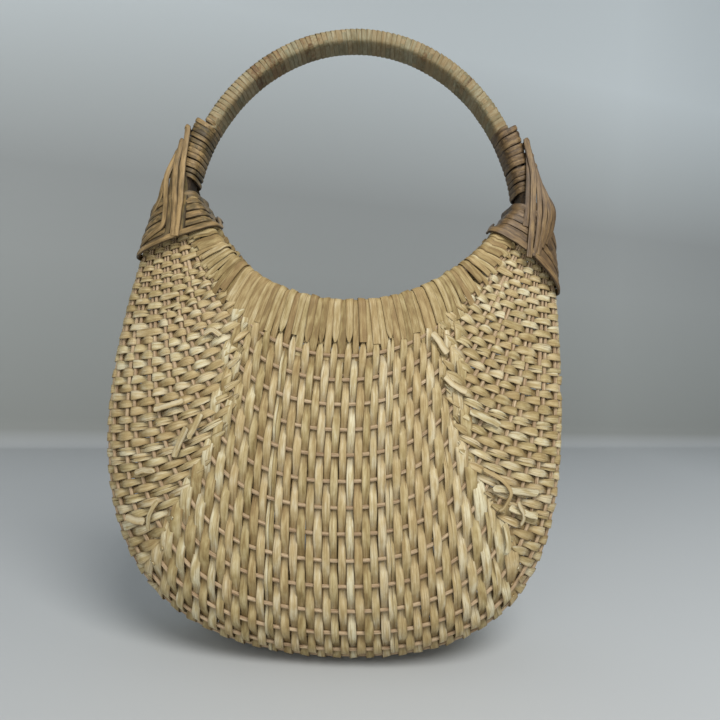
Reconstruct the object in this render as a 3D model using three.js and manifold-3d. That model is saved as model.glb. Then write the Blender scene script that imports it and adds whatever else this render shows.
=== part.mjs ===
// Rattan handbag: thin round ribs run from ear to ear, flat strips are woven over and under them,
// and a wrapped hoop handle is lashed between the ears.
// Lengths are in millimetres. X runs to the right, Y to the back and Z up.
// Heights are measured from the keel rib, and the whole bag is then set on its lowest strips.

import * as THREE from 'three';
import { mergeVertices } from 'three/addons/utils/BufferGeometryUtils.js';
import Module from 'manifold-3d';

const wasm = await Module();
wasm.setup();
const lerp = THREE.MathUtils.lerp;
const clamp = THREE.MathUtils.clamp;

// Room between pieces that touch
const clearance = 0.3;

// The section through the middle of the bag
const rimHeight = 206;
const mouthDepth = 88;
const flankDepth = 130;
const flankHeight = 104;
const bilgeDepth = 151;
const bottomDepth = 30;

// The ears, where the ribs come together
const earSpread = 101;
const earHeight = 271;
const earReach = 20;
const earDepth = 29.5;

// How far the ribs swing out between ear and middle, and how high they do it
const rimShoulder = 79;
const keelShoulder = 154;
const rimBelly = 50;
const keelBelly = 150;
const rimShoulderRise = 0.48;
const keelShoulderRise = 0.39;
const shoulderSag = 0.69;

// Ribs
const ribsPerSide = 15;
const ribDiameter = 2.2;
const ribPointing = 0.36;
const firstRibDrop = 28.7;
const ribCrowding = 0.94;
const ribTipLength = 12;
const keelTipAngle = 13;
const ribSides = 4;

// Woven strips
const stripThickness = 1;
const centreHalfWidth = 60;
const centreFlare = 52;
const centreFlareHeight = 150;
const stripGap = 0.6;
const weaveHead = 2;
const bandGap = 1;
const weaveTopRoom = 1.6;
const seatRoom = 0.45;
const centreColumns = 8;
const sideColumns = 5;
const earCrowding = 1.3;
const restingCut = 0.5;

// Rim rods, and the strips that turn over them
const rodDiameter = 6;
const rodTipDiameter = 4.6;
const rodTipLength = 3;
const rodSides = 6;
const rodRoom = 1;
const bandInsideDrop = 22;
const bandInsideRoom = 1.5;
const bandRodRoom = 0.1;
const bandLean = 0.2;
const bandColumns = 18;

// Handle hoop: half of an ellipse, set a little outside the rims' ends and below them
const handleSeat = 6;
const handleRise = 121;
const handleFootDrop = 15;
const handleWidth = 20;
const handleThickness = 5.5;
const handleCorner = 1.6;
const handleLegLength = 11;
const handleLegFlare = 1.5;
const handleSteps = 34;

// Pale wrapping of the handle
const wrapTurns = 17;
const wrapWidth = 4.8;
const wrapThickness = 0.8;

// Dark cane, flat inside and domed outside
const caneWidth = 3.2;
const caneThickness = 2.2;
const caneFlatWidth = 2.3;
const caneShoulder = 1.1;
const handleLashTurns = 11;
const handleLashLength = 43;
const handleLashGap = 11;

// Ear lashing: its lowest turn lies in a sloping plane through the foot
const earLashTurns = 6;
const earLashFootX = 130;
const earLashDrop = 41;
const earLashSlope = 0.354;
const earLashHeight = 25;
const earLashBluntness = 0.7;
const earQuarterSteps = 5;

// Long canes that run over the handle and down both faces of an ear
const strutsPerEar = 5;
const strutDiameter = 2.4;
const strutSides = 4;
const strutUpperSteps = 4;
const strutLowerSteps = 3;
const strutFootRise = 4;
const strutFootInset = 6;
const strutFootPitch = 5.5;
const strutTopInset = 3.4;
const strutTopPitch = 2.9;
const strutFanGap = 16;
const strutRoom = 1;

// A closed body from rings of points, each ring with as many points as the last
function loft(rings) {
  const sides = rings[0].length;
  const positions = [];
  for (const ring of rings) {
    for (const point of ring) {
      positions.push(point.x, point.y, point.z);
    }
  }
  const faces = [];
  for (let ring = 0; ring + 1 < rings.length; ring++) {
    for (let side = 0; side < sides; side++) {
      const a = ring * sides + side;
      const b = ring * sides + (side + 1) % sides;
      faces.push([a, b, b + sides], [a, b + sides, a + sides]);
    }
  }
  capWithStrip(faces, sides, 0, false);
  capWithStrip(faces, sides, (rings.length - 1) * sides, true);
  return closedGeometry(positions, faces);
}

// A ring closed by a zigzag of triangles between its two sides, which suits a long narrow outline
function capWithStrip(faces, sides, start, far) {
  let low = 0;
  let high = sides - 1;
  let fromLow = true;
  while (high - low > 1) {
    const face = fromLow ? [low, low + 1, high] : [low, high - 1, high];
    const turned = far ? face : [face[0], face[2], face[1]];
    faces.push(turned.map((index) => start + index));
    if (fromLow) {
      low += 1;
    } else {
      high -= 1;
    }
    fromLow = !fromLow;
  }
}

// A closed sheet between two grids of points, open through every cell that isn't solid
function sheet(outer, inner, isSolid) {
  const rows = outer.length;
  const columns = outer[0].length;
  const positions = [];
  for (const point of [...outer.flat(), ...inner.flat()]) {
    positions.push(point.x, point.y, point.z);
  }
  const at = (row, column, layer) => layer * rows * columns + row * columns + column;
  const solid = (row, column) => row >= 0 && row + 1 < rows
    && column >= 0 && column + 1 < columns && isSolid(row, column);
  const faces = [];
  const quad = (a, b, c, d) => faces.push([a, b, c], [a, c, d]);
  for (let row = 0; row + 1 < rows; row++) {
    for (let column = 0; column + 1 < columns; column++) {
      if (!solid(row, column)) {
        continue;
      }
      const [nearLeft, nearRight, farLeft, farRight] = [
        [row, column], [row, column + 1], [row + 1, column], [row + 1, column + 1]
      ].map(([r, c]) => [at(r, c, 0), at(r, c, 1)]);
      quad(nearLeft[0], farLeft[0], farRight[0], nearRight[0]);
      quad(nearLeft[1], nearRight[1], farRight[1], farLeft[1]);
      if (!solid(row, column - 1)) {
        quad(nearLeft[0], nearLeft[1], farLeft[1], farLeft[0]);
      }
      if (!solid(row, column + 1)) {
        quad(nearRight[0], farRight[0], farRight[1], nearRight[1]);
      }
      if (!solid(row - 1, column)) {
        quad(nearLeft[0], nearRight[0], nearRight[1], nearLeft[1]);
      }
      if (!solid(row + 1, column)) {
        quad(farLeft[0], farLeft[1], farRight[1], farRight[0]);
      }
    }
  }
  return closedGeometry(positions, faces);
}

// Turns the faces outward where they came out inward, and makes the geometry
function closedGeometry(positions, faces) {
  const vertex = (index) => new THREE.Vector3().fromArray(positions, index * 3);
  let volume = 0;
  for (const [a, b, c] of faces) {
    volume += vertex(a).dot(vertex(b).cross(vertex(c)));
  }
  const outward = volume > 0 ? faces : faces.map(([a, b, c]) => [a, c, b]);
  const geometry = new THREE.BufferGeometry();
  geometry.setAttribute('position', new THREE.Float32BufferAttribute(positions, 3));
  geometry.setIndex(outward.flat());
  return geometry;
}

// Rings of a round rod through points, with a radius at each point
function rodRings(points, radii, sides) {
  const rings = [];
  let across = new THREE.Vector3(0, 1, 0);
  for (let index = 0; index < points.length; index++) {
    const before = points[Math.max(index - 1, 0)];
    const after = points[Math.min(index + 1, points.length - 1)];
    const along = after.clone().sub(before).normalize();
    across = across.clone().addScaledVector(along, -across.dot(along)).normalize();
    const up = along.clone().cross(across);
    const ring = [];
    for (let side = 0; side < sides; side++) {
      const angle = side / sides * Math.PI * 2;
      ring.push(points[index].clone()
        .addScaledVector(across, radii[index] * Math.cos(angle))
        .addScaledVector(up, radii[index] * Math.sin(angle)));
    }
    rings.push(ring);
  }
  return rings;
}

// The least distance between points of a winding that lie at least half a turn apart
function leastGap(rings, stepsPerTurn) {
  let least = Infinity;
  for (let first = 0; first < rings.length; first++) {
    const last = Math.min(rings.length, first + Math.ceil(stepsPerTurn * 1.5));
    for (let second = first + stepsPerTurn / 2; second < last; second++) {
      for (const a of rings[first]) {
        for (const b of rings[second]) {
          least = Math.min(least, a.distanceTo(b));
        }
      }
    }
  }
  return least;
}

function material(color, roughness) {
  return new THREE.MeshStandardMaterial({ color, roughness, metalness: 0 });
}

const bag = new THREE.Group();

function add(name, geometry, color, roughness = 0.7) {
  const mesh = new THREE.Mesh(geometry, material(color, roughness));
  mesh.name = name;
  bag.add(mesh);
  return mesh;
}

// The left piece is the right one seen in a mirror
function mirrored(geometry) {
  const copy = geometry.clone();
  const position = copy.getAttribute('position');
  for (let index = 0; index < position.count; index++) {
    position.setX(index, -position.getX(index));
  }
  const order = Array.from(copy.getIndex().array);
  for (let face = 0; face < order.length; face += 3) {
    [order[face + 1], order[face + 2]] = [order[face + 2], order[face + 1]];
  }
  copy.setIndex(order);
  return copy;
}

// The surface that the ribs lie in

const section = new THREE.CurvePath();
const bilgeEnd = new THREE.Vector3(0, -bottomDepth / 2, 0);
section.add(new THREE.CubicBezierCurve3(
  new THREE.Vector3(0, -mouthDepth / 2, rimHeight),
  new THREE.Vector3(0, -flankDepth / 2, flankHeight),
  new THREE.Vector3(0, -bilgeDepth / 2, 0),
  bilgeEnd
));
section.add(new THREE.LineCurve3(bilgeEnd, new THREE.Vector3(0, 0, 0)));
const sectionLength = section.getLength();

// Half of a rib, from its right ear (0) to the middle of the bag (1).
// Its place is a distance down the section from the front rim, or from the back one where side is 1.
function halfRib(distance, side) {
  const share = clamp(distance / sectionLength, 0, 1);
  const middle = section.getPointAt(share);
  const depth = 1 - middle.z / rimHeight;
  const turn = share * Math.PI / 2;
  const ear = new THREE.Vector3(
    earSpread + earReach * Math.sin(turn), -earDepth / 2 * Math.cos(turn), earHeight);
  const rise = lerp(rimShoulderRise, keelShoulderRise, depth) - shoulderSag * depth * (1 - depth);
  const shoulder = middle.clone().lerp(ear, rise);
  shoulder.x = lerp(rimShoulder, keelShoulder, depth ** 3);
  const belly = middle.clone();
  belly.x = lerp(rimBelly, keelBelly, depth ** 2);
  const points = [ear, shoulder, belly, middle];
  return new THREE.CubicBezierCurve3(
    ...points.map((point) => new THREE.Vector3(point.x, -side * point.y, point.z)));
}

// Height of the sloping plane of the lowest turn of the ear lashing
function earPlane(x) {
  return earHeight - earLashDrop + earLashSlope * (earLashFootX - x);
}

function aboveEarPlane(point) {
  return point.z - earPlane(point.x);
}

// Where a half rib first drops below a level, between 0 at the ear and 1 in the middle
function crossing(curve, isAbove) {
  let low = 0;
  let high = 1;
  if (!isAbove(curve.getPoint(0))) {
    return 0;
  }
  for (let step = 0; step < 30; step++) {
    const half = (low + high) / 2;
    if (isAbove(curve.getPoint(half))) {
      low = half;
    } else {
      high = half;
    }
  }
  return low;
}

const weaveTop = -(caneWidth / 2 + weaveTopRoom);

// The places along one half of a rib where the weave has its columns
function stations(distance, side) {
  const curve = halfRib(distance, side);
  const middle = curve.getPoint(1);
  const flare = centreFlare * Math.max(0, 1 - middle.z / centreFlareHeight);
  const border = centreHalfWidth + flare;
  const tip = crossing(curve, (point) => aboveEarPlane(point) > ribTipLength);
  const top = crossing(curve, (point) => aboveEarPlane(point) > weaveTop);
  const edge = crossing(curve, (point) => point.x > border || point.z > middle.z + border);
  const places = [tip];
  for (let column = 0; column < sideColumns; column++) {
    places.push(lerp(top, edge, (column / sideColumns) ** earCrowding));
  }
  for (let column = 0; column <= centreColumns / 2; column++) {
    places.push(lerp(edge, 1, column / (centreColumns / 2)));
  }
  return places.map((place) => curve.getPoint(place));
}

// Every place along a whole rib, from the left ear to the right one
function wholeRow(distance, side) {
  const right = stations(distance, side).reverse();
  const left = right.slice(1).reverse().map((point) => point.clone().setX(-point.x));
  return [...left, ...right];
}

const ribRows = [];
for (let rib = 0; rib <= 2 * ribsPerSide; rib++) {
  const fromRim = Math.min(rib, 2 * ribsPerSide - rib);
  const share = fromRim / ribsPerSide;
  const spread = lerp(share ** 2, share, ribCrowding);
  const side = rib <= ribsPerSide ? -1 : 1;
  ribRows.push({
    fromRim,
    side,
    distance: lerp(firstRibDrop, sectionLength, spread)
  });
}

// The strips leave the band half a rib spacing above the first rib
const bandDrop = firstRibDrop - (ribRows[1].distance - ribRows[0].distance) / 2;
const plainRow = (side, distance) => ({ fromRim: -1, side, distance });
const rows = [
  plainRow(-1, bandDrop), plainRow(-1, bandDrop + weaveHead),
  ...ribRows,
  plainRow(1, bandDrop + weaveHead), plainRow(1, bandDrop)
];
for (const row of rows) {
  row.points = wholeRow(row.distance, row.side);
}

// Direction along the rib, direction out of the bag, and room to the next rib, at each place
for (let index = 0; index < rows.length; index++) {
  const row = rows[index];
  const before = rows[Math.max(index - 1, 0)];
  const after = rows[Math.min(index + 1, rows.length - 1)];
  row.along = [];
  row.outward = [];
  row.spacing = [];
  row.points.forEach((point, place) => {
    const next = row.points[Math.min(place + 1, row.points.length - 1)];
    const last = row.points[Math.max(place - 1, 0)];
    const along = next.clone().sub(last).normalize();
    const down = after.points[place].clone().sub(before.points[place]);
    row.along.push(along);
    row.outward.push(down.cross(along).normalize());
    const room = [before, after]
      .filter((other) => other !== row && other.fromRim >= 0)
      .map((other) => {
        const step = other.points[place].clone().sub(point);
        return step.addScaledVector(along, -step.dot(along)).length();
      });
    row.spacing.push(Math.min(...room));
  });
}

// Ribs

const handleHeight = earHeight - handleFootDrop;
const handleSpread = earSpread + handleSeat;

// A point on the hoop at an angle from its right foot, with a shift in depth and outward
function hoopPoint(angle, depth, outward) {
  const x = Math.cos(angle);
  const z = Math.sin(angle);
  const normal = new THREE.Vector3(x / handleSpread, 0, z / handleRise).normalize();
  return new THREE.Vector3(handleSpread * x, depth, handleHeight + handleRise * z)
    .addScaledVector(normal, outward);
}

// Ribs are pointed where they crowd together at the ears
function ribRadius(spacing) {
  return Math.min(ribDiameter, ribPointing * spacing) / 2;
}

// The keel rib runs on to the outer side of the handle, against its lashing
function keelSeat(radius) {
  const outward = handleThickness / 2 + caneThickness + 2 * clearance + radius;
  return hoopPoint(THREE.MathUtils.degToRad(keelTipAngle), 0, outward);
}

ribRows.forEach((row, index) => {
  const points = [...row.points];
  const radii = row.spacing.map(ribRadius);
  if (row.fromRim === ribsPerSide) {
    const radius = radii.at(-1);
    for (const point of [halfRib(row.distance, row.side).getPoint(0), keelSeat(radius)]) {
      points.push(point);
      points.unshift(point.clone().setX(-point.x));
      radii.push(radius);
      radii.unshift(radius);
    }
  }
  const name = `rib_${String(index + 1).padStart(2, '0')}`;
  add(name, loft(rodRings(points, radii, ribSides)), 0xc7a27c);
});

// Weave

// How far the middle of the sheet swings out to clear a rib, on the slope between two ribs
function waveDepth(radius, spacing) {
  let depth = radius + seatRoom + stripThickness / 2;
  for (let step = 0; step < 6; step++) {
    const slope = 2 * depth / spacing;
    depth = (radius + seatRoom) * Math.sqrt(1 + slope ** 2) + stripThickness / 2;
  }
  return depth;
}

// Strips side by side pass a rib on opposite sides, and each strip takes the next rib the other way
function stripSwing(row, place, column) {
  if (row.fromRim < 0) {
    return 0;
  }
  const side = (ribsPerSide - row.fromRim + column) % 2 === 1 ? 1 : -1;
  return side * waveDepth(ribRadius(row.spacing[place]), row.spacing[place]);
}

// The strips between two columns. Each runs from the front band under the bag to the back band,
// and they are joined to each other only in a narrow head at either band.
function weaveBetween(first, last) {
  const layer = (shift) => rows.map((row) => {
    const line = [];
    for (let column = first; column < last; column++) {
      for (const place of [column, column + 1]) {
        const isFree = place === 1 || place === lastPlace - 1;
        const room = isFree ? 0 : stripGap / 2;
        line.push(row.points[place].clone()
          .addScaledVector(row.outward[place], stripSwing(row, place, column) + shift)
          .addScaledVector(row.along[place], place === column ? room : -room));
      }
    }
    return line;
  });
  const isSolid = (row, cell) => cell % 2 === 0 || row === 0 || row === rows.length - 2;
  return sheet(layer(stripThickness / 2), layer(-stripThickness / 2), isSolid);
}

const halfColumns = sideColumns + centreColumns / 2;
const middlePlace = halfColumns + 1;
const leftBorder = middlePlace - centreColumns / 2;
const rightBorder = middlePlace + centreColumns / 2;
const lastPlace = 2 * middlePlace;

const keelRow = ribRows[ribsPerSide];
const nearKeelRow = ribRows[ribsPerSide - 1];
const bottomWave = waveDepth(
  ribRadius(nearKeelRow.spacing[middlePlace]), nearKeelRow.spacing[middlePlace]);
const lift = bottomWave + stripThickness / 2 - restingCut;

function solidOf(geometry) {
  const bare = geometry.clone();
  bare.deleteAttribute('normal');
  bare.deleteAttribute('uv');
  const merged = mergeVertices(bare, 1e-4);
  return new wasm.Manifold(new wasm.Mesh({
    numProp: 3,
    vertProperties: merged.getAttribute('position').array,
    triVerts: Uint32Array.from(merged.getIndex().array)
  }));
}

function geometryOf(solid) {
  const mesh = solid.getMesh();
  const geometry = new THREE.BufferGeometry();
  geometry.setAttribute('position', new THREE.BufferAttribute(mesh.vertProperties, 3));
  geometry.setIndex(Array.from(mesh.triVerts));
  return geometry;
}

// The strips are worn flat where the bag stands on them
function restFlat(geometry) {
  const size = 4 * keelBelly;
  const ground = new THREE.BoxGeometry(size, size, size);
  ground.translate(0, 0, -lift - size / 2);
  return geometryOf(solidOf(geometry).subtract(solidOf(ground)));
}

const centreWeave = weaveBetween(leftBorder, rightBorder);
add('centre_weave', restFlat(centreWeave), 0xdccb9c);
add('left_side_weave', weaveBetween(1, leftBorder), 0xd6c594);
add('right_side_weave', weaveBetween(rightBorder, lastPlace - 1), 0xd6c594);

// Rim rods and bands

const rodRadius = rodDiameter / 2;

// Places along half a rim, from the ear to the middle
function rimPlaces(side) {
  const curve = halfRib(0, side);
  const top = crossing(curve, (point) => aboveEarPlane(point) > weaveTop);
  const places = [];
  for (let column = 0; column <= bandColumns / 2; column++) {
    places.push(lerp(top, 1, column / (bandColumns / 2)));
  }
  return places;
}

function rimRod(side) {
  const curve = halfRib(0, side);
  const places = rimPlaces(side);
  const right = [0, places[0] / 2, ...places].map((place) => curve.getPoint(place));
  const tip = right[0].clone().sub(right[1]).normalize().multiplyScalar(rodTipLength);
  right.unshift(right[0].clone().add(tip));
  const left = right.slice(0, -1).map((point) => point.clone().setX(-point.x));
  const points = [...left, ...right.reverse()];
  const radii = points.map(() => rodRadius);
  radii[0] = rodTipDiameter / 2;
  radii[radii.length - 1] = rodTipDiameter / 2;
  return loft(rodRings(points, radii, rodSides));
}

// The outline of the turned strips in the section across a rim rod.
// Each entry is the way down the surface and the way out of it, for the middle of the strip.
function bandMiddle() {
  const round = rodRadius + clearance + stripThickness / 2 + bandRodRoom;
  const corner = round * Math.SQRT1_2;
  return [
    [bandDrop - bandGap, 0],
    [bandDrop / 2, round / 2 + bandLean],
    [0, round],
    [-corner, corner],
    [-round, 0],
    [-corner, -corner],
    [0, -round],
    [bandInsideDrop, -bandInsideRoom]
  ];
}

function bandOutline() {
  const middle = bandMiddle();
  const side = (sign) => middle.map(([down, out], index) => {
    const before = middle[Math.max(index - 1, 0)];
    const after = middle[Math.min(index + 1, middle.length - 1)];
    const along = new THREE.Vector2(after[0] - before[0], after[1] - before[1]).normalize();
    const half = sign * stripThickness / 2;
    return [down + along.y * half, out - along.x * half];
  });
  return [...side(1), ...side(-1).reverse()];
}

function rimBand(side) {
  const outline = bandOutline();
  const rim = halfRib(0, side);
  const ring = (place) => {
    const centre = rim.getPoint(place);
    const along = rim.getTangent(place);
    const down = halfRib(bandDrop / 3, side).getPoint(place).sub(centre);
    down.addScaledVector(along, -down.dot(along)).normalize();
    const out = along.clone().cross(down).multiplyScalar(side);
    return outline.map(([drop, swing]) => {
      const surface = drop > 0
        ? halfRib(drop, side).getPoint(place)
        : centre.clone().addScaledVector(down, drop);
      return surface.addScaledVector(out, swing);
    });
  };
  const right = rimPlaces(side).map(ring);
  const left = right.slice(0, -1).map((points) => points.map(
    (point) => point.clone().setX(-point.x)));
  return loft([...left, ...right.reverse()]);
}

add('front_rim_rod', rimRod(-1), 0xc9b083);
add('back_rim_rod', rimRod(1), 0xc9b083);
add('front_rim_binding', rimBand(-1), 0xdccb9c);
add('back_rim_binding', rimBand(1), 0xdccb9c);

// Handle

const handlePath = new THREE.Path();
const legX = handleSpread + handleLegFlare;
const legZ = handleHeight - handleLegLength;
const legMiddleZ = (legZ + handleHeight) / 2;
handlePath.moveTo(legX, legZ);
handlePath.quadraticCurveTo(handleSpread, legMiddleZ, handleSpread, handleHeight);
handlePath.absellipse(0, handleHeight, handleSpread, handleRise, 0, Math.PI, false, 0);
handlePath.quadraticCurveTo(-handleSpread, legMiddleZ, -legX, legZ);
const handleLength = handlePath.getLength();

// A point at a distance along the hoop from its right foot, with a shift in depth and outward
function handlePoint(distance, depth, outward) {
  const share = clamp(distance / handleLength, 0, 1);
  const centre = handlePath.getPointAt(share);
  const along = handlePath.getTangentAt(share);
  return new THREE.Vector3(
    centre.x + along.y * outward, depth, centre.y - along.x * outward);
}

function handleAlong(distance) {
  const along = handlePath.getTangentAt(clamp(distance / handleLength, 0, 1));
  return new THREE.Vector3(along.x, 0, along.y);
}

// The eight corners of the hoop's section, grown by a layer
function handleCorners(grow) {
  const wide = handleWidth / 2 + grow;
  const thick = handleThickness / 2 + grow;
  const cut = handleCorner + grow * Math.tan(Math.PI / 8);
  const near = thick - cut;
  const far = wide - cut;
  return [
    [wide, -near], [wide, near], [far, thick], [-far, thick],
    [-wide, near], [-wide, -near], [-far, -thick], [far, -thick]
  ];
}

function handleCore() {
  const rings = [];
  for (let step = 0; step <= handleSteps; step++) {
    const distance = handleLength * step / handleSteps;
    rings.push(handleCorners(0).map(([depth, outward]) => handlePoint(distance, depth, outward)));
  }
  return loft(rings);
}

// A strip wound round the hoop between two distances.
// The profile lists its points as the way along the hoop and the way up from it.
function handleWinding(start, end, turns, profile) {
  const steps = 8 * turns;
  const rings = [];
  for (let step = 0; step <= steps; step++) {
    const distance = lerp(start, end, step / steps);
    const along = handleAlong(distance);
    rings.push(profile.map(([shift, up]) => {
      const [depth, outward] = handleCorners(clearance + up)[step % 8];
      return handlePoint(distance, depth, outward).addScaledVector(along, shift);
    }));
  }
  return rings;
}

const wrapProfile = [
  [-wrapWidth / 2, 0],
  [wrapWidth / 2, 0],
  [wrapWidth / 2, wrapThickness],
  [-wrapWidth / 2, wrapThickness]
];
const caneProfile = [
  [-caneFlatWidth / 2, 0],
  [caneFlatWidth / 2, 0],
  [caneWidth / 2, caneShoulder],
  [0, caneThickness],
  [-caneWidth / 2, caneShoulder]
];

// How far up the hoop its right half reaches a height
function distanceAt(height) {
  let low = 0;
  let high = 0.5;
  for (let step = 0; step < 30; step++) {
    const half = (low + high) / 2;
    if (handlePath.getPointAt(half).y < height) {
      low = half;
    } else {
      high = half;
    }
  }
  return low * handleLength;
}

const lashStartHeight = earHeight + handleLashGap;
const lashStart = distanceAt(lashStartHeight);
const lashEnd = lashStart + handleLashLength;
const wrapStart = lashEnd + caneWidth / 2 + wrapWidth / 2 + clearance;
const wrapEnd = handleLength / 2 - wrapWidth / 2 - clearance / 2;

const lashRings = handleWinding(lashStart, lashEnd, handleLashTurns, caneProfile);
const wrapRings = handleWinding(wrapStart, wrapEnd, wrapTurns, wrapProfile);
add('handle_core', handleCore(), 0xc9b083);
add('right_handle_wrap', loft(wrapRings), 0xdcc995);
add('left_handle_wrap', mirrored(loft(wrapRings)), 0xdcc995);
add('right_handle_lashing', loft(lashRings), 0x9a7a4c);
add('left_handle_lashing', mirrored(loft(lashRings)), 0x9a8750);

// Ear lashing

const frontRim = halfRib(0, -1);
const keelHalf = halfRib(sectionLength, -1);

// The sizes of the ear in the plane of a turn that lies a height above the lowest one
function earOutline(height) {
  const isAbove = (point) => aboveEarPlane(point) > height;
  const rod = frontRim.getPoint(crossing(frontRim, isAbove));
  const keel = keelHalf.getPoint(crossing(keelHalf, isAbove));
  return { inner: rod.x, outer: Math.max(keel.x, rod.x + 1), half: Math.abs(rod.y) };
}

// The outline of a turn at a height above the lowest one, grown by a layer, as depth and spread.
// It is blunt towards the keel, rounds both rim rods and runs straight between them.
function earTurn(height, grow) {
  const { inner, outer, half } = earOutline(height);
  const round = (rodRadius + rodRoom) / Math.cos(Math.PI / 8) + grow;
  const reach = outer - inner + ribDiameter + clearance + grow;
  const quarter = [];
  for (let step = 0; step <= earQuarterSteps; step++) {
    const angle = step / earQuarterSteps * Math.PI / 2;
    quarter.push([
      inner + reach * Math.cos(angle) ** earLashBluntness,
      (half + round) * Math.sin(angle) ** earLashBluntness
    ]);
  }
  const corner = round * Math.SQRT1_2;
  quarter.push([inner - corner, half + corner], [inner - round, half]);
  const front = quarter.slice(1).reverse().map(([x, y]) => [x, -y]);
  return [...quarter, [inner - round, 0], ...front];
}

function earPoint(height, [x, y], shift = 0) {
  const z = earPlane(x) + height;
  const normal = new THREE.Vector3(earLashSlope, 0, 1).normalize();
  return new THREE.Vector3(x, y, z).addScaledVector(normal, shift);
}

const earStepsPerTurn = earTurn(0, 0).length;

function earWinding() {
  const steps = earStepsPerTurn * earLashTurns;
  const rings = [];
  for (let step = 0; step <= steps; step++) {
    const height = earLashHeight * (1 - step / steps);
    rings.push(caneProfile.map(([shift, up]) => earPoint(
      height, earTurn(height, up)[step % earStepsPerTurn], shift)));
  }
  return rings;
}

const earRings = earWinding();
add('right_ear_lashing', loft(earRings), 0xa3804f);
add('left_ear_lashing', mirrored(loft(earRings)), 0xa08b55);

// Long canes over the ears

const strutRadius = strutDiameter / 2;
const strutOut = handleThickness / 2 + clearance + caneThickness + clearance + strutRadius;
const strutDepth = handleWidth / 2 + clearance + caneThickness + clearance + strutRadius;

// How far in front of the middle a long cane lies where it crosses the ear lashing
function earFace(x, z) {
  const height = clamp(aboveEarPlane(new THREE.Vector3(x, 0, z)), 0, earLashHeight);
  const outline = earTurn(height, caneThickness + strutRoom + strutRadius);
  for (let step = 0; step < earStepsPerTurn / 2 - 1; step++) {
    const [nearX, nearY] = outline[step];
    const [farX, farY] = outline[step + 1];
    if (x <= nearX && x >= farX) {
      return lerp(nearY, farY, (nearX - x) / (nearX - farX));
    }
  }
  return outline[earQuarterSteps][1];
}

// Half of a long cane: from its foot up the front of the ear to the outer side of the handle
function strutHalf(index) {
  const bend = strutRadius + handleCorner;
  const topX = handleSpread - strutTopInset - strutTopPitch * (strutsPerEar - 1 - index);
  const angle = Math.acos(topX / (handleSpread + strutOut - bend));
  const edge = hoopPoint(angle, -strutDepth, strutOut - bend);
  const footX = earSpread - strutFootInset + strutFootPitch * index;
  const footZ = earPlane(footX) + strutFootRise;
  const earTop = lashStartHeight - caneWidth - clearance;
  const fanHeight = earHeight + strutFanGap;
  const atHeight = (z) => {
    const spread = clamp((fanHeight - z) / (fanHeight - footZ), 0, 1);
    const settle = clamp((edge.z - z) / (edge.z - earTop), 0, 1) ** 2;
    const x = lerp(edge.x, footX, spread);
    const depth = lerp(strutDepth, earFace(x, Math.min(z, earTop)), settle);
    return new THREE.Vector3(x, -depth, z);
  };
  const points = [];
  for (let step = 0; step < strutLowerSteps; step++) {
    points.push(atHeight(lerp(footZ, earTop, step / strutLowerSteps)));
  }
  for (let step = 0; step < strutUpperSteps; step++) {
    points.push(atHeight(lerp(earTop, edge.z, step / strutUpperSteps)));
  }
  return [
    ...points, edge, hoopPoint(angle, bend - strutDepth, strutOut), hoopPoint(angle, 0, strutOut)
  ];
}

function strut(index) {
  const front = strutHalf(index);
  const back = front.slice(0, -1).reverse().map((point) => point.clone().setY(-point.y));
  const points = [...front, ...back];
  return loft(rodRings(points, points.map(() => strutRadius), strutSides));
}

for (let index = 0; index < strutsPerEar; index++) {
  const geometry = strut(index);
  add(`right_ear_strut_${index + 1}`, geometry, 0xa88a58);
  add(`left_ear_strut_${index + 1}`, mirrored(geometry), 0xa5905c);
}

console.log(`least gap in the handle wrapping ${leastGap(wrapRings, 8).toFixed(2)} mm`);
console.log(`least gap in the handle lashing ${leastGap(lashRings, 8).toFixed(2)} mm`);
console.log(`least gap in the ear lashing ${leastGap(earRings, earStepsPerTurn).toFixed(2)} mm`);

bag.position.z = lift;

export default bag;
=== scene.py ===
# Rattan handbag: the woven strips, ribs, wrappings and lashings that the photograph shows.
# Sizes in the dictionaries are in millimetres; meshes are made in metres.
import math
import bmesh
import bpy
import numpy as np
from mathutils import Matrix, Vector


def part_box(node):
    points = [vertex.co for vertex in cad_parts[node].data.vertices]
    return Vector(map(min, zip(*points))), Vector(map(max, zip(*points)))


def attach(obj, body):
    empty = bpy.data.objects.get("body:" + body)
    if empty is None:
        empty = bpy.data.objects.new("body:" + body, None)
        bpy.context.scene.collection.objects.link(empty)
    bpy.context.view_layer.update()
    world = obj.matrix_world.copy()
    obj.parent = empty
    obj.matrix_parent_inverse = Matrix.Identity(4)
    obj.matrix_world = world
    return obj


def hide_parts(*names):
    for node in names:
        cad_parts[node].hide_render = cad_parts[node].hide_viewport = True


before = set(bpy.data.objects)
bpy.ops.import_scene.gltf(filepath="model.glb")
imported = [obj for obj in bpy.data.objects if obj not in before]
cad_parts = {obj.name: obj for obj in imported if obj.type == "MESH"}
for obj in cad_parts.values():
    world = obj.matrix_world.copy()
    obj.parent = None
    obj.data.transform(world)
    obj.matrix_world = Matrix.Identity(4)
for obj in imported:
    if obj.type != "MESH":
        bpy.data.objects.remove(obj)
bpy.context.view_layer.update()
mm = 0.001
print("frame loaded:", len(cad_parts), "nodes")


def lerp(a, b, share):
    return a + (b - a) * share


def smooth(value):
    value = np.clip(value, 0, 1)
    return value * value * (3 - 2 * value)


def unit(vectors):
    length = np.linalg.norm(vectors, axis=-1, keepdims=True)
    return vectors / np.maximum(length, 1e-9)


def signedPower(value, power):
    return np.sign(value) * np.abs(value) ** power


# Distance from the start of a line to each of its points
def runAlong(points):
    return np.concatenate([[0], np.cumsum(np.linalg.norm(np.diff(points, axis=0), axis=1))])


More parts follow.
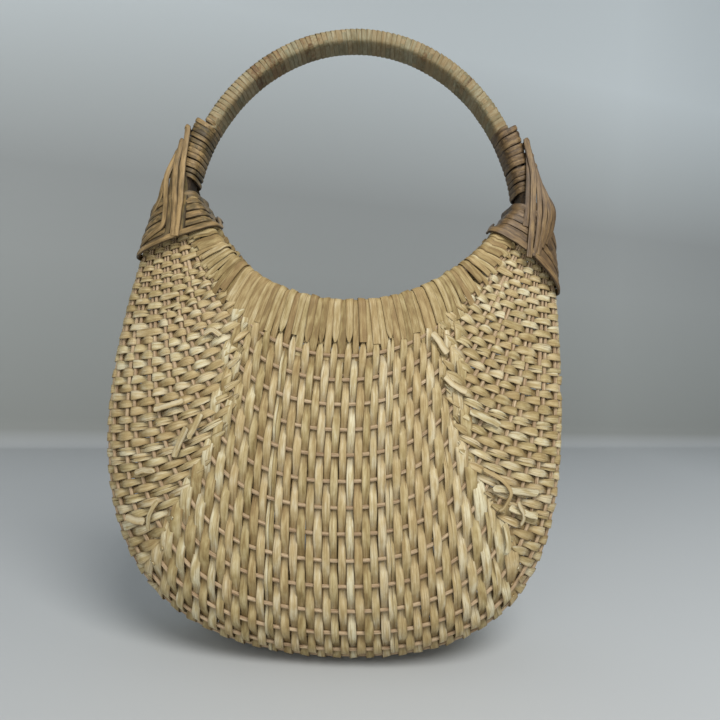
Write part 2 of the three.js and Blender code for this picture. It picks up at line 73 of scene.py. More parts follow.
def cutCorners(line, times=2):
    line = np.array(line, float)
    for _ in range(times):
        near, far = lerp(line[:-1], line[1:], 0.25), lerp(line[:-1], line[1:], 0.75)
        line = np.vstack([line[:1], np.stack([near, far], 1).reshape(-1, line.shape[1]), line[-1:]])
    return line


def sideName(side):
    return "right" if side > 0 else "left"


# Camera: level, at the height of the belly, with the small tilt of the photograph
cameraSet = {"distance": 445, "height": 178.1, "right": 7.5, "tiltDegrees": 2.56,
             "focalPixels": 706, "framePixels": 720, "sensor": 36}
cameraData = bpy.data.cameras.new("camera")
cameraData.sensor_width = cameraSet["sensor"]
cameraData.lens = cameraSet["focalPixels"] / cameraSet["framePixels"] * cameraSet["sensor"]
camera = bpy.data.objects.new("camera", cameraData)
bpy.context.scene.collection.objects.link(camera)
camera.matrix_world = (
    Matrix.Translation(Vector((cameraSet["right"], -cameraSet["distance"], cameraSet["height"])) * mm)
    @ Matrix.Rotation(math.pi / 2, 4, "X")
    @ Matrix.Rotation(math.radians(cameraSet["tiltDegrees"]), 4, "Z"))
bpy.context.scene.camera = camera
print("camera ready")


# The surface that the ribs lie in, as in the part's own drawing.
# Place down the surface: 0 at the front rim, on to the keel rib and up to the back rim.
# Place across: -1 at the left ear, 0 in the middle, 1 at the right ear.
bagShape = {
    "rimHeight": 206, "mouthDepth": 88, "flankDepth": 130, "flankHeight": 104,
    "bilgeDepth": 151, "bottomDepth": 30,
    "earSpread": 101, "earHeight": 271, "earReach": 20, "earDepth": 29.5,
    "rimShoulder": 79, "keelShoulder": 154, "rimBelly": 50, "keelBelly": 150,
    "rimShoulderRise": 0.48, "keelShoulderRise": 0.39, "shoulderSag": 0.69,
    "leanToLeft": 6,  # the belly hangs a little to one side, as hand work does
    "ribDiameter": 2.2,
}
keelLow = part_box("rib_16")[0].z / mm
groundLift = keelLow + bagShape["ribDiameter"] / 2
tiny = 0.002  # a small step across


def bezier(points, share):
    a, b, c, d = points
    rest = 1 - share
    return a * rest ** 3 + 3 * b * rest ** 2 * share + 3 * c * rest * share ** 2 + d * share ** 3


def sectionTable():
    shape = bagShape
    corners = np.array([
        [-shape["mouthDepth"] / 2, shape["rimHeight"]], [-shape["flankDepth"] / 2, shape["flankHeight"]],
        [-shape["bilgeDepth"] / 2, 0.0], [-shape["bottomDepth"] / 2, 0.0]])
    curve = np.vstack([bezier(corners, np.linspace(0, 1, 241)[:, None]), [[0, 0]]])
    return curve, runAlong(curve)


sectionCurve, sectionRun = sectionTable()
keelPlace = sectionRun[-1]


# Places are counted from the front rim; the back rim is at twice the place of the keel
def fromRim(isFront, place):
    return place if isFront else 2 * keelPlace - place


def leanedX(x, z):
    return x - bagShape["leanToLeft"] * np.sin(np.pi * np.clip(z / bagShape["earHeight"], 0, 1))


def bagSurface(place, across, lean=True):
    shape = bagShape
    place, across = np.broadcast_arrays(np.asarray(place, float), np.asarray(across, float))
    isFront = place <= keelPlace
    distance = np.where(isFront, place, 2 * keelPlace - place)
    share = np.clip(distance / keelPlace, 0, 1)
    middleY = np.interp(distance, sectionRun, sectionCurve[:, 0])
    middleZ = np.interp(distance, sectionRun, sectionCurve[:, 1])
    depth = 1 - middleZ / shape["rimHeight"]
    turn = share * np.pi / 2
    ear = [shape["earSpread"] + shape["earReach"] * np.sin(turn),
           -shape["earDepth"] / 2 * np.cos(turn), np.full(share.shape, float(shape["earHeight"]))]
    rise = lerp(shape["rimShoulderRise"], shape["keelShoulderRise"], depth)
    rise = rise - shape["shoulderSag"] * depth * (1 - depth)
    shoulder = [lerp(shape["rimShoulder"], shape["keelShoulder"], depth ** 3),
                lerp(middleY, ear[1], rise), lerp(middleZ, ear[2], rise)]
    belly = [lerp(shape["rimBelly"], shape["keelBelly"], depth ** 2), middleY, middleZ]
    middle = [np.zeros(share.shape), middleY, middleZ]
    t = 1 - np.abs(across)
    x, y, z = (bezier([ear[k], shoulder[k], belly[k], middle[k]], t) for k in range(3))
    x = x * np.sign(across)
    if lean:
        x = leanedX(x, z)
    return np.stack([x, np.where(isFront, y, -y), z + groundLift], -1)


def outwardOf(place, across):
    step = 0.4
    down = bagSurface(place + step, across) - bagSurface(place - step, across)
    along = bagSurface(place, np.clip(across + tiny, -1, 1)) - bagSurface(place, np.clip(across - tiny, -1, 1))
    return unit(np.cross(down, along))


def setInputs(tree, node, values):
    for socket, value in dict(values).items():
        if isinstance(value, bpy.types.NodeSocket):
            tree.links.new(value, node.inputs[socket])
        else:
            node.inputs[socket].default_value = value


def addNode(tree, kind, values=(), **settings):
    node = tree.nodes.new(kind)
    for name, value in settings.items():
        setattr(node, name, value)
    setInputs(tree, node, values)
    return node


def calc(tree, operation, a, b=0.0):
    return addNode(tree, "ShaderNodeMath", {0: a, 1: b}, operation=operation).outputs[0]


def scaled(tree, vector, factor):
    return addNode(tree, "ShaderNodeVectorMath", {0: vector, "Scale": factor}, operation="SCALE").outputs[0]


# One tree sweeps a flat strip or a round rod along every path of a mesh of edges.
# Each path point holds the way out of the bag, where the strip is in the weave, and its width.
sweepSet = {"wanderScale": 45.0, "sharpAngle": 0.6, "sides": 8}


def makeSweepTree():
    tree = bpy.data.node_groups.new("sweepAlongPaths", "GeometryNodeTree")
    numbers = ("Half width", "Half thickness", "Crown", "Wave height", "Wander", "Squareness")
    for name, kind in (("Geometry", "Geometry"), *((number, "Float") for number in numbers),
                       ("Sides", "Int"), ("Seed", "Float"), ("Material", "Material")):
        tree.interface.new_socket(name, in_out="INPUT", socket_type="NodeSocket" + kind)
    tree.interface.new_socket("Geometry", in_out="OUTPUT", socket_type="NodeSocketGeometry")
    given = tree.nodes.new("NodeGroupInput").outputs

    def add(kind, values=(), **settings):
        return addNode(tree, kind, values, **settings).outputs[0]

    def times(a, b):
        return calc(tree, "MULTIPLY", a, b)

    def vector(operation, a, b=(0, 0, 0)):
        return add("ShaderNodeVectorMath", {0: a, 1: b}, operation=operation)

    def read(name, kind="FLOAT"):
        return addNode(tree, "GeometryNodeInputNamedAttribute", {"Name": name}, data_type=kind).outputs["Attribute"]

    def store(geometry, name, value, kind="FLOAT_VECTOR"):
        return add("GeometryNodeStoreNamedAttribute", {"Geometry": geometry, "Name": name, "Value": value},
                   data_type=kind, domain="POINT")

    # the path in the weave: out over a rib, in under the next
    outward = read("outward", "FLOAT_VECTOR")
    wave = times(read("over"), given["Wave height"])
    position = add("GeometryNodeInputPosition")
    noise = addNode(tree, "ShaderNodeTexNoise", {
        "Vector": position, "W": given["Seed"], "Scale": sweepSet["wanderScale"], "Detail": 1.0},
        noise_dimensions="4D").outputs["Color"]
    wander = scaled(tree, vector("SUBTRACT", noise, (0.5, 0.5, 0.5)), given["Wander"])
    offset = vector("ADD", scaled(tree, outward, wave), wander)
    waved = add("GeometryNodeSetPosition", {"Geometry": given["Geometry"], "Offset": offset})
    curve = add("GeometryNodeMeshToCurve", {"Mesh": waved})

    # the frame of the section at each point, turned by the strip's own tilt
    tangent = add("GeometryNodeInputTangent")
    across = vector("NORMALIZE", vector("CROSS_PRODUCT", outward, tangent))
    up = vector("NORMALIZE", vector("CROSS_PRODUCT", tangent, across))
    tilt = read("tilt")
    cosine, sine = calc(tree, "COSINE", tilt), calc(tree, "SINE", tilt)
    turnedAcross = vector("ADD", scaled(tree, across, cosine), scaled(tree, up, sine))
    turnedUp = vector("SUBTRACT", scaled(tree, up, cosine), scaled(tree, across, sine))
    for name, value in (("centre", position), ("sectionAcross", turnedAcross), ("sectionUp", turnedUp)):
        curve = store(curve, name, value)
    ring = add("GeometryNodeCurvePrimitiveCircle", {"Resolution": given["Sides"], "Radius": 1.0})
    body = add("GeometryNodeCurveToMesh", {
        "Curve": curve, "Profile Curve": store(ring, "section", position), "Fill Caps": True})

    # the section: a circle pressed towards a rectangle, with a crown on its outer side
    def pressed(value):
        size = calc(tree, "POWER", calc(tree, "ABSOLUTE", value), given["Squareness"])
        return times(size, calc(tree, "SIGN", value))

    section = addNode(tree, "ShaderNodeSeparateXYZ", {0: read("section", "FLOAT_VECTOR")}).outputs
    sideways, upward = pressed(section[0]), pressed(section[1])
    width = times(given["Half width"], read("widen"))
    thickness = times(given["Half thickness"], read("thicken"))
    bulge = calc(tree, "SUBTRACT", 1.0, times(sideways, sideways))
    height = calc(tree, "ADD", times(upward, thickness), times(bulge, given["Crown"]))
    place = vector("ADD", read("centre", "FLOAT_VECTOR"), vector(
        "ADD", scaled(tree, read("sectionAcross", "FLOAT_VECTOR"), times(sideways, width)),
        scaled(tree, read("sectionUp", "FLOAT_VECTOR"), height)))
    body = add("GeometryNodeSetPosition", {"Geometry": body, "Position": place})
    body = store(body, "side", sideways, "FLOAT")
    body = add("GeometryNodeSetShadeSmooth", {"Geometry": body})
    bend = tree.nodes.new("GeometryNodeInputMeshEdgeAngle").outputs["Unsigned Angle"]
    isSharp = add("FunctionNodeCompare", {0: bend, 1: sweepSet["sharpAngle"]}, operation="GREATER_THAN")
    body = add("GeometryNodeSetShadeSmooth", {
        "Geometry": body, "Selection": isSharp, "Shade Smooth": False}, domain="EDGE")
    body = add("GeometryNodeRealizeInstances", {"Geometry": body})
    body = add("GeometryNodeSetMaterial", {"Geometry": body, "Material": given["Material"]})
    tree.links.new(body, tree.nodes.new("NodeGroupOutput").inputs[0])
    return tree


sweepTree = makeSweepTree()
pathFacts = ("over", "widen", "thicken", "tilt", "tone", "along")


def makePath(points, outward, over=0.0, widen=1.0, thicken=1.0, tilt=0.0, tone=0.5):
    points = np.asarray(points, float)
    path = {"points": points, "outward": unit(np.asarray(outward, float)), "along": runAlong(points) * mm}
    for name, value in (("over", over), ("widen", widen), ("thicken", thicken), ("tilt", tilt), ("tone", tone)):
        path[name] = np.broadcast_to(np.asarray(value, float), (len(points),))
    return path


def edgeMesh(name, paths):
    count = [len(path["points"]) for path in paths]
    start = np.concatenate([[0], np.cumsum(count)])
    edges = np.concatenate([
        np.stack([np.arange(n - 1), np.arange(1, n)], -1) + first for n, first in zip(count, start)])
    mesh = bpy.data.meshes.new(name)
    mesh.vertices.add(int(start[-1]))
    mesh.edges.add(len(edges))
    points = np.concatenate([path["points"] for path in paths]) * mm
    mesh.vertices.foreach_set("co", points.astype(np.float32).ravel())
    mesh.edges.foreach_set("vertices", edges.astype(np.int32).ravel())
    fields = [("outward", "FLOAT_VECTOR", "vector"), *((fact, "FLOAT", "value") for fact in pathFacts)]
    for fact, kind, field in fields:
        values = np.concatenate([path[fact] for path in paths]).astype(np.float32)
        mesh.attributes.new(fact, kind, "POINT").data.foreach_set(field, values.ravel())
    return mesh


# Faces that all look inward are turned round
def turnOutward(mesh):
    solid = bmesh.new()
    solid.from_mesh(mesh)
    if solid.calc_volume(signed=True) < 0:
        mesh.flip_normals()
    solid.free()


# One piece: every path swept, with the CAD nodes that it stands for
def addPiece(name, paths, section, material, slot, *nodes):
    source = bpy.data.objects.new(name + "Paths", edgeMesh(name + "Paths", paths))
    bpy.context.scene.collection.objects.link(source)
    modifier = source.modifiers.new("sweep", "NODES")
    modifier.node_group = sweepTree
    given = {item.name: item.identifier for item in sweepTree.interface.items_tree if item.in_out == "INPUT"}
    for label, value in (
            ("Half width", section["width"] / 2 * mm), ("Half thickness", section["thickness"] / 2 * mm),
            ("Crown", section.get("crown", 0) * mm), ("Wave height", section.get("wave", 0) * mm),
            ("Wander", section.get("wander", 0) * mm), ("Squareness", float(section["squareness"])),
            ("Sides", section.get("sides", sweepSet["sides"])), ("Seed", float(section.get("noiseSeed", 0))),
            ("Material", material)):
        modifier[given[label]] = value
    bpy.context.view_layer.update()
    graph = bpy.context.evaluated_depsgraph_get()
    mesh = bpy.data.meshes.new_from_object(source.evaluated_get(graph))
    source.modifiers.remove(modifier)
    bpy.data.objects.remove(source)
    turnOutward(mesh)
    for extra in ("centre", "sectionAcross", "sectionUp", "section", "outward", "thicken", "tilt"):
        if extra in mesh.attributes:
            mesh.attributes.remove(mesh.attributes[extra])
    mesh.name = name
    piece = bpy.data.objects.new(name, mesh)
    bpy.context.scene.collection.objects.link(piece)
    mesh.calc_loop_triangles()
    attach(piece, "root")
    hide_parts(*nodes)
    print(name, "made:", len(paths), "paths,", len(mesh.loop_triangles), "triangles")


# Finishes. Tone differs from strip to strip; fibres run along a strip. Colours are sRGB.
def linear(color):
    shares = [value / 255 for value in color]
    return (*(share / 12.92 if share <= 0.04045 else ((share + 0.055) / 1.055) ** 2.4 for share in shares), 1)


def colorRamp(tree, shade, stops):
    ramp = addNode(tree, "ShaderNodeValToRGB", {0: shade})
    elements = ramp.color_ramp.elements
    while len(elements) < len(stops):
        elements.new(0.5)
    for element, (place, color) in zip(elements, stops):
        element.position = place
        element.color = linear(color)
    return ramp.outputs[0]


def newMaterial(name):
    material = bpy.data.materials.new(name)
    material.use_nodes = True
    return material, material.node_tree


fibreSet = {
    # steps between strips in each noise, so that no two strips look the same
    "streakShift": 90.0, "blotchShift": 57.0, "fleckShift": 31.0, "fleckLanes": 2.2,
    "mottle": (0.32, 0.68, 0.0, 0.55), "streaks": (0.5, 0.66, 0.0, 1.0), "flecks": (0.68, 0.78, 0.0, 0.6),
    # tuck gives where a strip takes painted shade under a rib; the edge power keeps the browning and painted shade
    # close to the strip edges
    "tuck": (0.1, -0.9, 0.0, 1.0), "warmTurns": 7.3, "edgeBrownAndShadePower": 5.0, "reliefDepth": 0.0003,
}


def fibreMaterial(name, look):
    material, tree = newMaterial(name)
    tone, along, side, over = (
        addNode(tree, "ShaderNodeAttribute", attribute_name=fact).outputs["Fac"]
        for fact in ("tone", "along", "side", "over"))

    def times(a, b):
        return calc(tree, "MULTIPLY", a, b)

    # long along the strip, fine across it, and different on each strip
    def noise(run, lane, shift, detail):
        space = addNode(tree, "ShaderNodeCombineXYZ", {0: times(along, run), 1: lane, 2: times(tone, shift)})
        return addNode(tree, "ShaderNodeTexNoise", {"Vector": space.outputs[0], "Scale": 1.0, **detail}).outputs["Fac"]

    def ranged(value, low, high, least, most):
        return addNode(tree, "ShaderNodeMapRange", {0: value, 1: low, 2: high, 3: least, 4: most}).outputs[0]

    def mixed(share, color, other):
        return addNode(tree, "ShaderNodeMix", {0: share, 6: color, 7: linear(other)}, data_type="RGBA").outputs[2]

    lane = times(side, look["lanes"])
    fibres = noise(look["streak"], lane, fibreSet["streakShift"], {"Detail": 5.0, "Roughness": 0.6})
    blotches = noise(look["blotch"], side, fibreSet["blotchShift"], {"Detail": 4.0})
    flecks = noise(look["fleckRun"], times(lane, fibreSet["fleckLanes"]), fibreSet["fleckShift"], {"Detail": 1.0})

    # from the strip's own tone to its colour; some strips are warmer than others
    shade = calc(tree, "ADD", times(tone, 0.5), ranged(blotches, *fibreSet["mottle"]))
    color = colorRamp(tree, shade, look["tones"])
    warmth = calc(tree, "FRACT", times(tone, fibreSet["warmTurns"]))
    color = mixed(times(warmth, look["warmDepth"]), color, look["warmColor"])
    color = mixed(times(ranged(fibres, *fibreSet["streaks"]), look["streakDepth"]), color, look["streakColor"])
    # browner towards each strip's edges, with painted shade along the edges and in the slits between strips
    edge = calc(tree, "POWER", calc(tree, "ABSOLUTE", side), fibreSet["edgeBrownAndShadePower"])
    color = mixed(times(edge, look["edgeBrownAndShadeDepth"]), color, look["edgeBrownAndShadeColor"])
    # painted shade where the strip dives under a rib
    color = mixed(times(ranged(over, *fibreSet["tuck"]), look["tuckShadeDepth"]), color, look["tuckShadeColor"])
    color = mixed(ranged(flecks, *fibreSet["flecks"]), color, look["fleckColor"])

    relief = addNode(tree, "ShaderNodeBump", {
        "Strength": look["relief"], "Distance": fibreSet["reliefDepth"], "Height": fibres}).outputs[0]
    setInputs(tree, tree.nodes["Principled BSDF"], {
        "Base Color": color, "Roughness": ranged(fibres, 0.2, 0.8, *look["rough"]),
        "Normal": relief, "Specular IOR Level": look["gloss"]})
    return material


stripLook = {
    "tones": [(0.0, (119, 100, 63)), (0.16, (140, 122, 79)), (0.36, (165, 148, 103)),
              (0.6, (186, 171, 129)), (0.86, (208, 200, 168))],
    "lanes": 4.6, "streak": 55.0, "blotch": 110.0, "fleckRun": 190.0,
    "warmDepth": 0.3, "warmColor": (180, 148, 106), "streakDepth": 0.75, "streakColor": (134, 108, 68),
    # the edge colour browns the strip edges and paints their shade; the tuck colour paints the shade under the ribs
    "edgeBrownAndShadeDepth": 0.7, "edgeBrownAndShadeColor": (104, 82, 50), "tuckShadeDepth": 0.45, "tuckShadeColor": (112, 88, 54),
    "fleckColor": (104, 76, 46), "relief": 0.9, "rough": (0.5, 0.75), "gloss": 0.3,
}
ribLook = {
    **stripLook,
    "tones": [(0.1, (148, 124, 94)), (0.4, (168, 145, 114)), (0.7, (182, 160, 128)), (0.9, (192, 172, 140))],
    "lanes": 3.0, "streak": 90.0, "edgeBrownAndShadeDepth": 0.0, "tuckShadeDepth": 0.0, "warmDepth": 0.0,
    "streakColor": (120, 90, 60), "rough": (0.55, 0.75),
}
wrapLook = {
    **stripLook,
    "tones": [(0.08, (82, 60, 38)), (0.24, (106, 97, 69)), (0.6, (125, 120, 93)), (0.9, (146, 142, 117))],
    "streak": 70.0, "edgeBrownAndShadeDepth": 0.5, "tuckShadeDepth": 0.0,
}
leftCaneLook = {
    **stripLook,
    "tones": [(0.14, (56, 48, 28)), (0.38, (88, 76, 44)), (0.62, (124, 102, 63)), (0.9, (160, 134, 90))],
    "lanes": 4.0, "streak": 40.0, "streakColor": (66, 48, 28), "edgeBrownAndShadeDepth": 1.0, "warmDepth": 0.15,
    "edgeBrownAndShadeColor": (46, 34, 20), "tuckShadeDepth": 0.0, "rough": (0.4, 0.62), "gloss": 0.4,
}
rightCaneLook = {
    **leftCaneLook,
    "tones": [(0.14, (48, 36, 21)), (0.38, (76, 58, 36)), (0.62, (104, 82, 51)), (0.9, (132, 108, 70))],
}
stripMaterial = fibreMaterial("paleStrip", stripLook)
ribMaterial = fibreMaterial("roundRib", ribLook)
wrapMaterial = fibreMaterial("handleStrip", wrapLook)
caneMaterials = {-1: fibreMaterial("oliveCane", leftCaneLook), 1: fibreMaterial("brownCane", rightCaneLook)}
print("finishes ready")


# Ribs: crowded into pairs at the ears, evenly spread in the middle
ribSet = {
    "perSide": 15, "firstDrop": 28.7, "crowding": 0.94, "pairPull": 0.2, "pairFrom": 0.5, "pairOver": 0.25,
    "pointing": 0.36, "waver": 0.05, "tones": (0.1, 0.95), "seed": 3,
    "width": bagShape["ribDiameter"], "thickness": bagShape["ribDiameter"], "squareness": 1.0,
    "wander": 0.5, "noiseSeed": 4,
}
ribCount = 2 * ribSet["perSide"] + 1


def ribRest(index):
    order = min(index, ribCount - 1 - index)
    share = order / ribSet["perSide"]
    distance = lerp(ribSet["firstDrop"], keelPlace, lerp(share ** 2, share, ribSet["crowding"]))
    return distance if index <= ribSet["perSide"] else 2 * keelPlace - distance


ribRests = np.array([ribRest(index) for index in range(ribCount)])


def ribPlace(index, across):
    order = min(index, ribCount - 1 - index)
    if order >= ribSet["perSide"] - 1:
        return np.full(np.shape(across), ribRests[index])
    partner = index + 1 if (order % 2 == 0) == (index <= ribSet["perSide"]) else index - 1
    pull = ribSet["pairPull"] * smooth((np.abs(across) - ribSet["pairFrom"]) / ribSet["pairOver"])
    return lerp(ribRests[index], ribRests[partner], pull)


def ribSpacing(place, across):
    step = ribRests[1] - ribRests[0]
    return np.linalg.norm(bagSurface(place + step / 2, across) - bagSurface(place - step / 2, across), axis=-1)


def ribRadius(place, across):
    return np.minimum(bagShape["ribDiameter"], ribSet["pointing"] * ribSpacing(place, across)) / 2


def makeRibs():
    rng = np.random.default_rng(ribSet["seed"])
    across = np.concatenate([
        np.linspace(-0.985, -0.5, 34), np.linspace(-0.47, 0.47, 30), np.linspace(0.5, 0.985, 34)])
    paths = []
    for index in range(ribCount):
        place = ribPlace(index, across)
        size = ribRadius(place, across) / (bagShape["ribDiameter"] / 2)
        size = size * (1 + ribSet["waver"] * np.sin(across * 40 + index * 7))
        paths.append(makePath(bagSurface(place, across), outwardOf(place, across), widen=size, thicken=size,
                              tone=rng.uniform(*ribSet["tones"])))
    addPiece("ribs", paths, ribSet, ribMaterial, "rib", *[f"rib_{index + 1:02d}" for index in range(ribCount)])


makeRibs()


# What all woven strips share: how they lie over ribs, and how width and tilt waver along them
weaveSet = {
    "seat": 0.38, "dwell": 1.25, "atRim": -0.15, "point": 0.3, "pointPower": 0.7, "sizes": (0.93, 1.06),
    "widthWaver": 0.06, "widthRate": 0.13, "tiltWaver": 0.12, "tiltRate": 0.07, "tiltJitter": 0.08,
    "splitAt": (0.35, 0.65),
}
waveHeight = bagShape["ribDiameter"] / 2 + weaveSet["seat"]


# Weave of the centre: upright strips from the front rim, under the belly, to the back rim.
# Tip is the length of a pointed end, and tipLift how far it stands off the weave.
centreSet = {
    "strips": 46, "pitch": 4.74, "jitter": 0.35, "fan": 0.18, "outerFan": 0.17, "outerReach": 105,
    "width": 5.0, "thickness": 0.55, "crown": 0.03, "start": 20.5, "borderOverlap": 4.5, "borderJitter": 2.5,
    "splitShare": 0.12, "squeeze": (0.98, 1.06), "seed": 11, "step": 2.4, "room": 1.02, "pairUnder": 0,
    "rimReach": 3, "rimTip": 6.5, "tip": 7.0, "tipLift": (0, 1.2),
    "wave": waveHeight, "wander": 0.45, "squareness": 0.2, "noiseSeed": 1,
}
borders = {
    -1: {"top": 57, "flare": 48, "from": 165, "over": 125},
    1: {"top": 61, "flare": 47, "from": 180, "over": 130},
}


def borderX(side, z):
    line = borders[side]
    return line["top"] + line["flare"] * smooth((line["from"] - z) / line["over"])


# How far out the strip is at each place, from the side of each rib that it passes
def wavePhase(place, crossings, heights):
    index = np.clip(np.searchsorted(crossings, place) - 1, 0, len(crossings) - 2)
    share = (place - crossings[index]) / np.maximum(crossings[index + 1] - crossings[index], 1e-6)
    share = (np.clip(share, 0, 1) - 0.5) * weaveSet["dwell"] + 0.5
    return lerp(heights[index], heights[index + 1], smooth(share))


def stripPlaces(crossings, first, last, step):
    stops = [first, *[c for c in crossings if first < c < last], last]
    places = []
    for start, end in zip(stops[:-1], stops[1:]):
        count = int(np.clip(round((end - start) / step), 2, 7))
        places.append(np.linspace(start, end, count, endpoint=False))
    return np.concatenate([*places, [last]])


# A strip over and under the ribs, on the middle one of three lines, whose outer two give its room
def wovenStrip(rng, dense, lines, start, end, index, tone, ends, section, isRim=False):
    across, before, after = lines
    there = np.interp(ribRests, dense, across)
    crossings = np.array([float(ribPlace(rib, there[rib])) for rib in range(ribCount)])
    onRibs = np.interp(crossings, dense, across)
    # where the ribs are close, the strip passes them two by two
    order = np.arange(ribCount)
    group = np.where(ribSpacing(crossings, onRibs) < section["pairUnder"], order // 2, order)
    signs = np.where((group + index) % 2 == 0, 1.0, -1.0)
    heights = signs * (ribRadius(crossings, onRibs) + weaveSet["seat"]) / waveHeight
    if isRim:
        crossings = np.concatenate([[start], crossings, [end]])
        heights = np.concatenate([[weaveSet["atRim"]], heights, [weaveSet["atRim"]]])
    places = stripPlaces(crossings, start, end, section["step"])
    over = wavePhase(places, crossings, heights)
    middle, low, high = (np.interp(places, dense, line) for line in (across, before, after))
    points, outward = bagSurface(places, middle), outwardOf(places, middle)
    room = np.linalg.norm(bagSurface(places, high) - bagSurface(places, low), axis=-1) * section["room"]
    widen = room / section["width"] * lerp(*section["squeeze"], smooth(over))
    widen = widen * (1 + weaveSet["widthWaver"] * np.sin(places * weaveSet["widthRate"] + rng.uniform(0, 7)))
    widen = widen * rng.uniform(*weaveSet["sizes"])
    run = runAlong(points)
    for distance, (tip, lift) in zip((run, run[-1] - run), ends):
        if tip:
            share = np.clip(distance / tip, 0, 1)
            widen = widen * lerp(weaveSet["point"], 1, share ** weaveSet["pointPower"])
            points = points + outward * (lift * (1 - share) ** 2)[:, None]
    tilt = weaveSet["tiltWaver"] * np.sin(places * weaveSet["tiltRate"] + rng.uniform(0, 7))
    tilt = tilt + rng.uniform(-weaveSet["tiltJitter"], weaveSet["tiltJitter"])
    return makePath(points, outward, over=over, widen=widen, tilt=tilt, tone=tone)


columnDense = np.linspace(0, 2 * keelPlace, 640)
columnFold = np.where(columnDense <= keelPlace, columnDense, 2 * keelPlace - columnDense)
columnDepth = 1 - np.interp(columnFold, sectionRun, sectionCurve[:, 1]) / bagShape["rimHeight"]
columnTable = np.linspace(0, 0.85, 110)
columnX = bagSurface(columnDense[:, None], columnTable[None, :], lean=False)[..., 0]


def columnAcross(rest):
    fan = centreSet["fan"] + centreSet["outerFan"] * (rest / centreSet["outerReach"]) ** 2
    wanted = abs(rest) * (1 - (1 - columnDepth) * fan)
    across = np.array([np.interp(x, row, columnTable) for x, row in zip(wanted, columnX)])
    return across * (1 if rest > 0 else -1), wanted


# Now and then one strip is split into two narrow ones
def splitStrips(rng, middle, pitch, share):
    if rng.uniform() < share:
        cutAt = rng.uniform(*weaveSet["splitAt"]) * pitch
        return [(middle - pitch / 2 + cutAt / 2, cutAt), (middle + cutAt / 2, pitch - cutAt)]
    return [(middle, pitch)]


centreColumns = []


def makeCentre():
    rng = np.random.default_rng(centreSet["seed"])
    jitter, overlap = centreSet["borderJitter"], centreSet["borderOverlap"]
    paths = []
    for index in range(centreSet["strips"]):
        middle = (index - (centreSet["strips"] - 1) / 2) * centreSet["pitch"]
        middle += rng.uniform(-centreSet["jitter"], centreSet["jitter"])
        centreColumns.append((middle, index % 2 == 0))
        for rest, pitch in splitStrips(rng, middle, centreSet["pitch"], centreSet["splitShare"]):
            side = 1 if rest > 0 else -1
            across, wanted = columnAcross(rest)
            lines = (across, columnAcross(rest - pitch / 2)[0], columnAcross(rest + pitch / 2)[0])
            z = bagSurface(columnDense, across, lean=False)[:, 2]
            inside = wanted < borderX(side, z) + overlap + rng.uniform(-jitter, jitter)
            inside &= np.abs(columnDense - keelPlace) < keelPlace - centreSet["start"]
            if not inside.any():
                continue
            start, end = columnDense[np.flatnonzero(inside)[[0, -1]]]
            isRim = wanted[0] < borderX(side, z[0]) + centreSet["rimReach"]
            ends = [(centreSet["rimTip"], 0.0)] * 2 if isRim else [
                (centreSet["tip"], rng.uniform(*centreSet["tipLift"])) for _ in range(2)]
            paths.append(wovenStrip(rng, columnDense, lines, start, end, index, rng.uniform(0, 1), ends,
                                    centreSet, isRim))
    addPiece("centreStrips", paths, centreSet, stripMaterial, "woven_strip", "centre_weave")


makeCentre()


# Weave of the sides: narrower strips that cross the ribs nearly squarely,
# so that they climb from the side of the bag towards the centre
sideSet = {
    "topHeight": 242, "lowHeight": 10, "topPitch": {-1: 3.4, 1: 3.5}, "lowPitch": 4.8, "pitchFrom": 20,
    "pitchOver": 55, "squareShare": 0.8, "width": 4.4, "thickness": 0.55, "crown": 0.02, "pairUnder": 6.4,
    "borderOverlap": 3.0, "borderJitter": (-2, 3), "splitShare": 0.08, "squeeze": (0.92, 1.14), "seed": 21,
    "step": 1.8, "room": 1.0, "edge": 19, "tip": 5.5, "tipLift": (0.2, 1.8),
    "levelSlide": 0.02, "looseLift": 1.2, "looseEnd": (0.3, 0.8), "looseTilt": 0.3, "looseOver": 0.6,
    "wave": waveHeight, "wander": 0.5, "squareness": 0.2, "noiseSeed": 2,
}


# Across value of the strip that starts at each start on the keel rib, at each place
def sideLines(dense, starts):
    half = len(dense) // 2
    current = starts.copy()
    rows = [current]
    for index in range(half, 0, -1):
        place = dense[index]
        step = dense[index] - dense[index - 1]
        here = bagSurface(place, current, lean=False)
        down = (bagSurface(place - step, current, lean=False) - here) / step
        along = (bagSurface(place, np.clip(current + tiny, 0, 1), lean=False)
                 - bagSurface(place, np.clip(current - tiny, 0, 1), lean=False)) / (2 * tiny)
        square = -np.sum(down * along, -1) / np.maximum(np.sum(along * along, -1), 1e-6)
        level = -down[:, 2] / np.where(np.abs(along[:, 2]) < 1, 1, along[:, 2])
        level = np.clip(level, -sideSet["levelSlide"], sideSet["levelSlide"])
        slide = lerp(level, square, sideSet["squareShare"])
        current = np.clip(current + slide * step, 0.0, 0.99)
        rows.append(current)
    rows = np.array(rows[::-1])
    return np.vstack([rows, rows[-2::-1]])


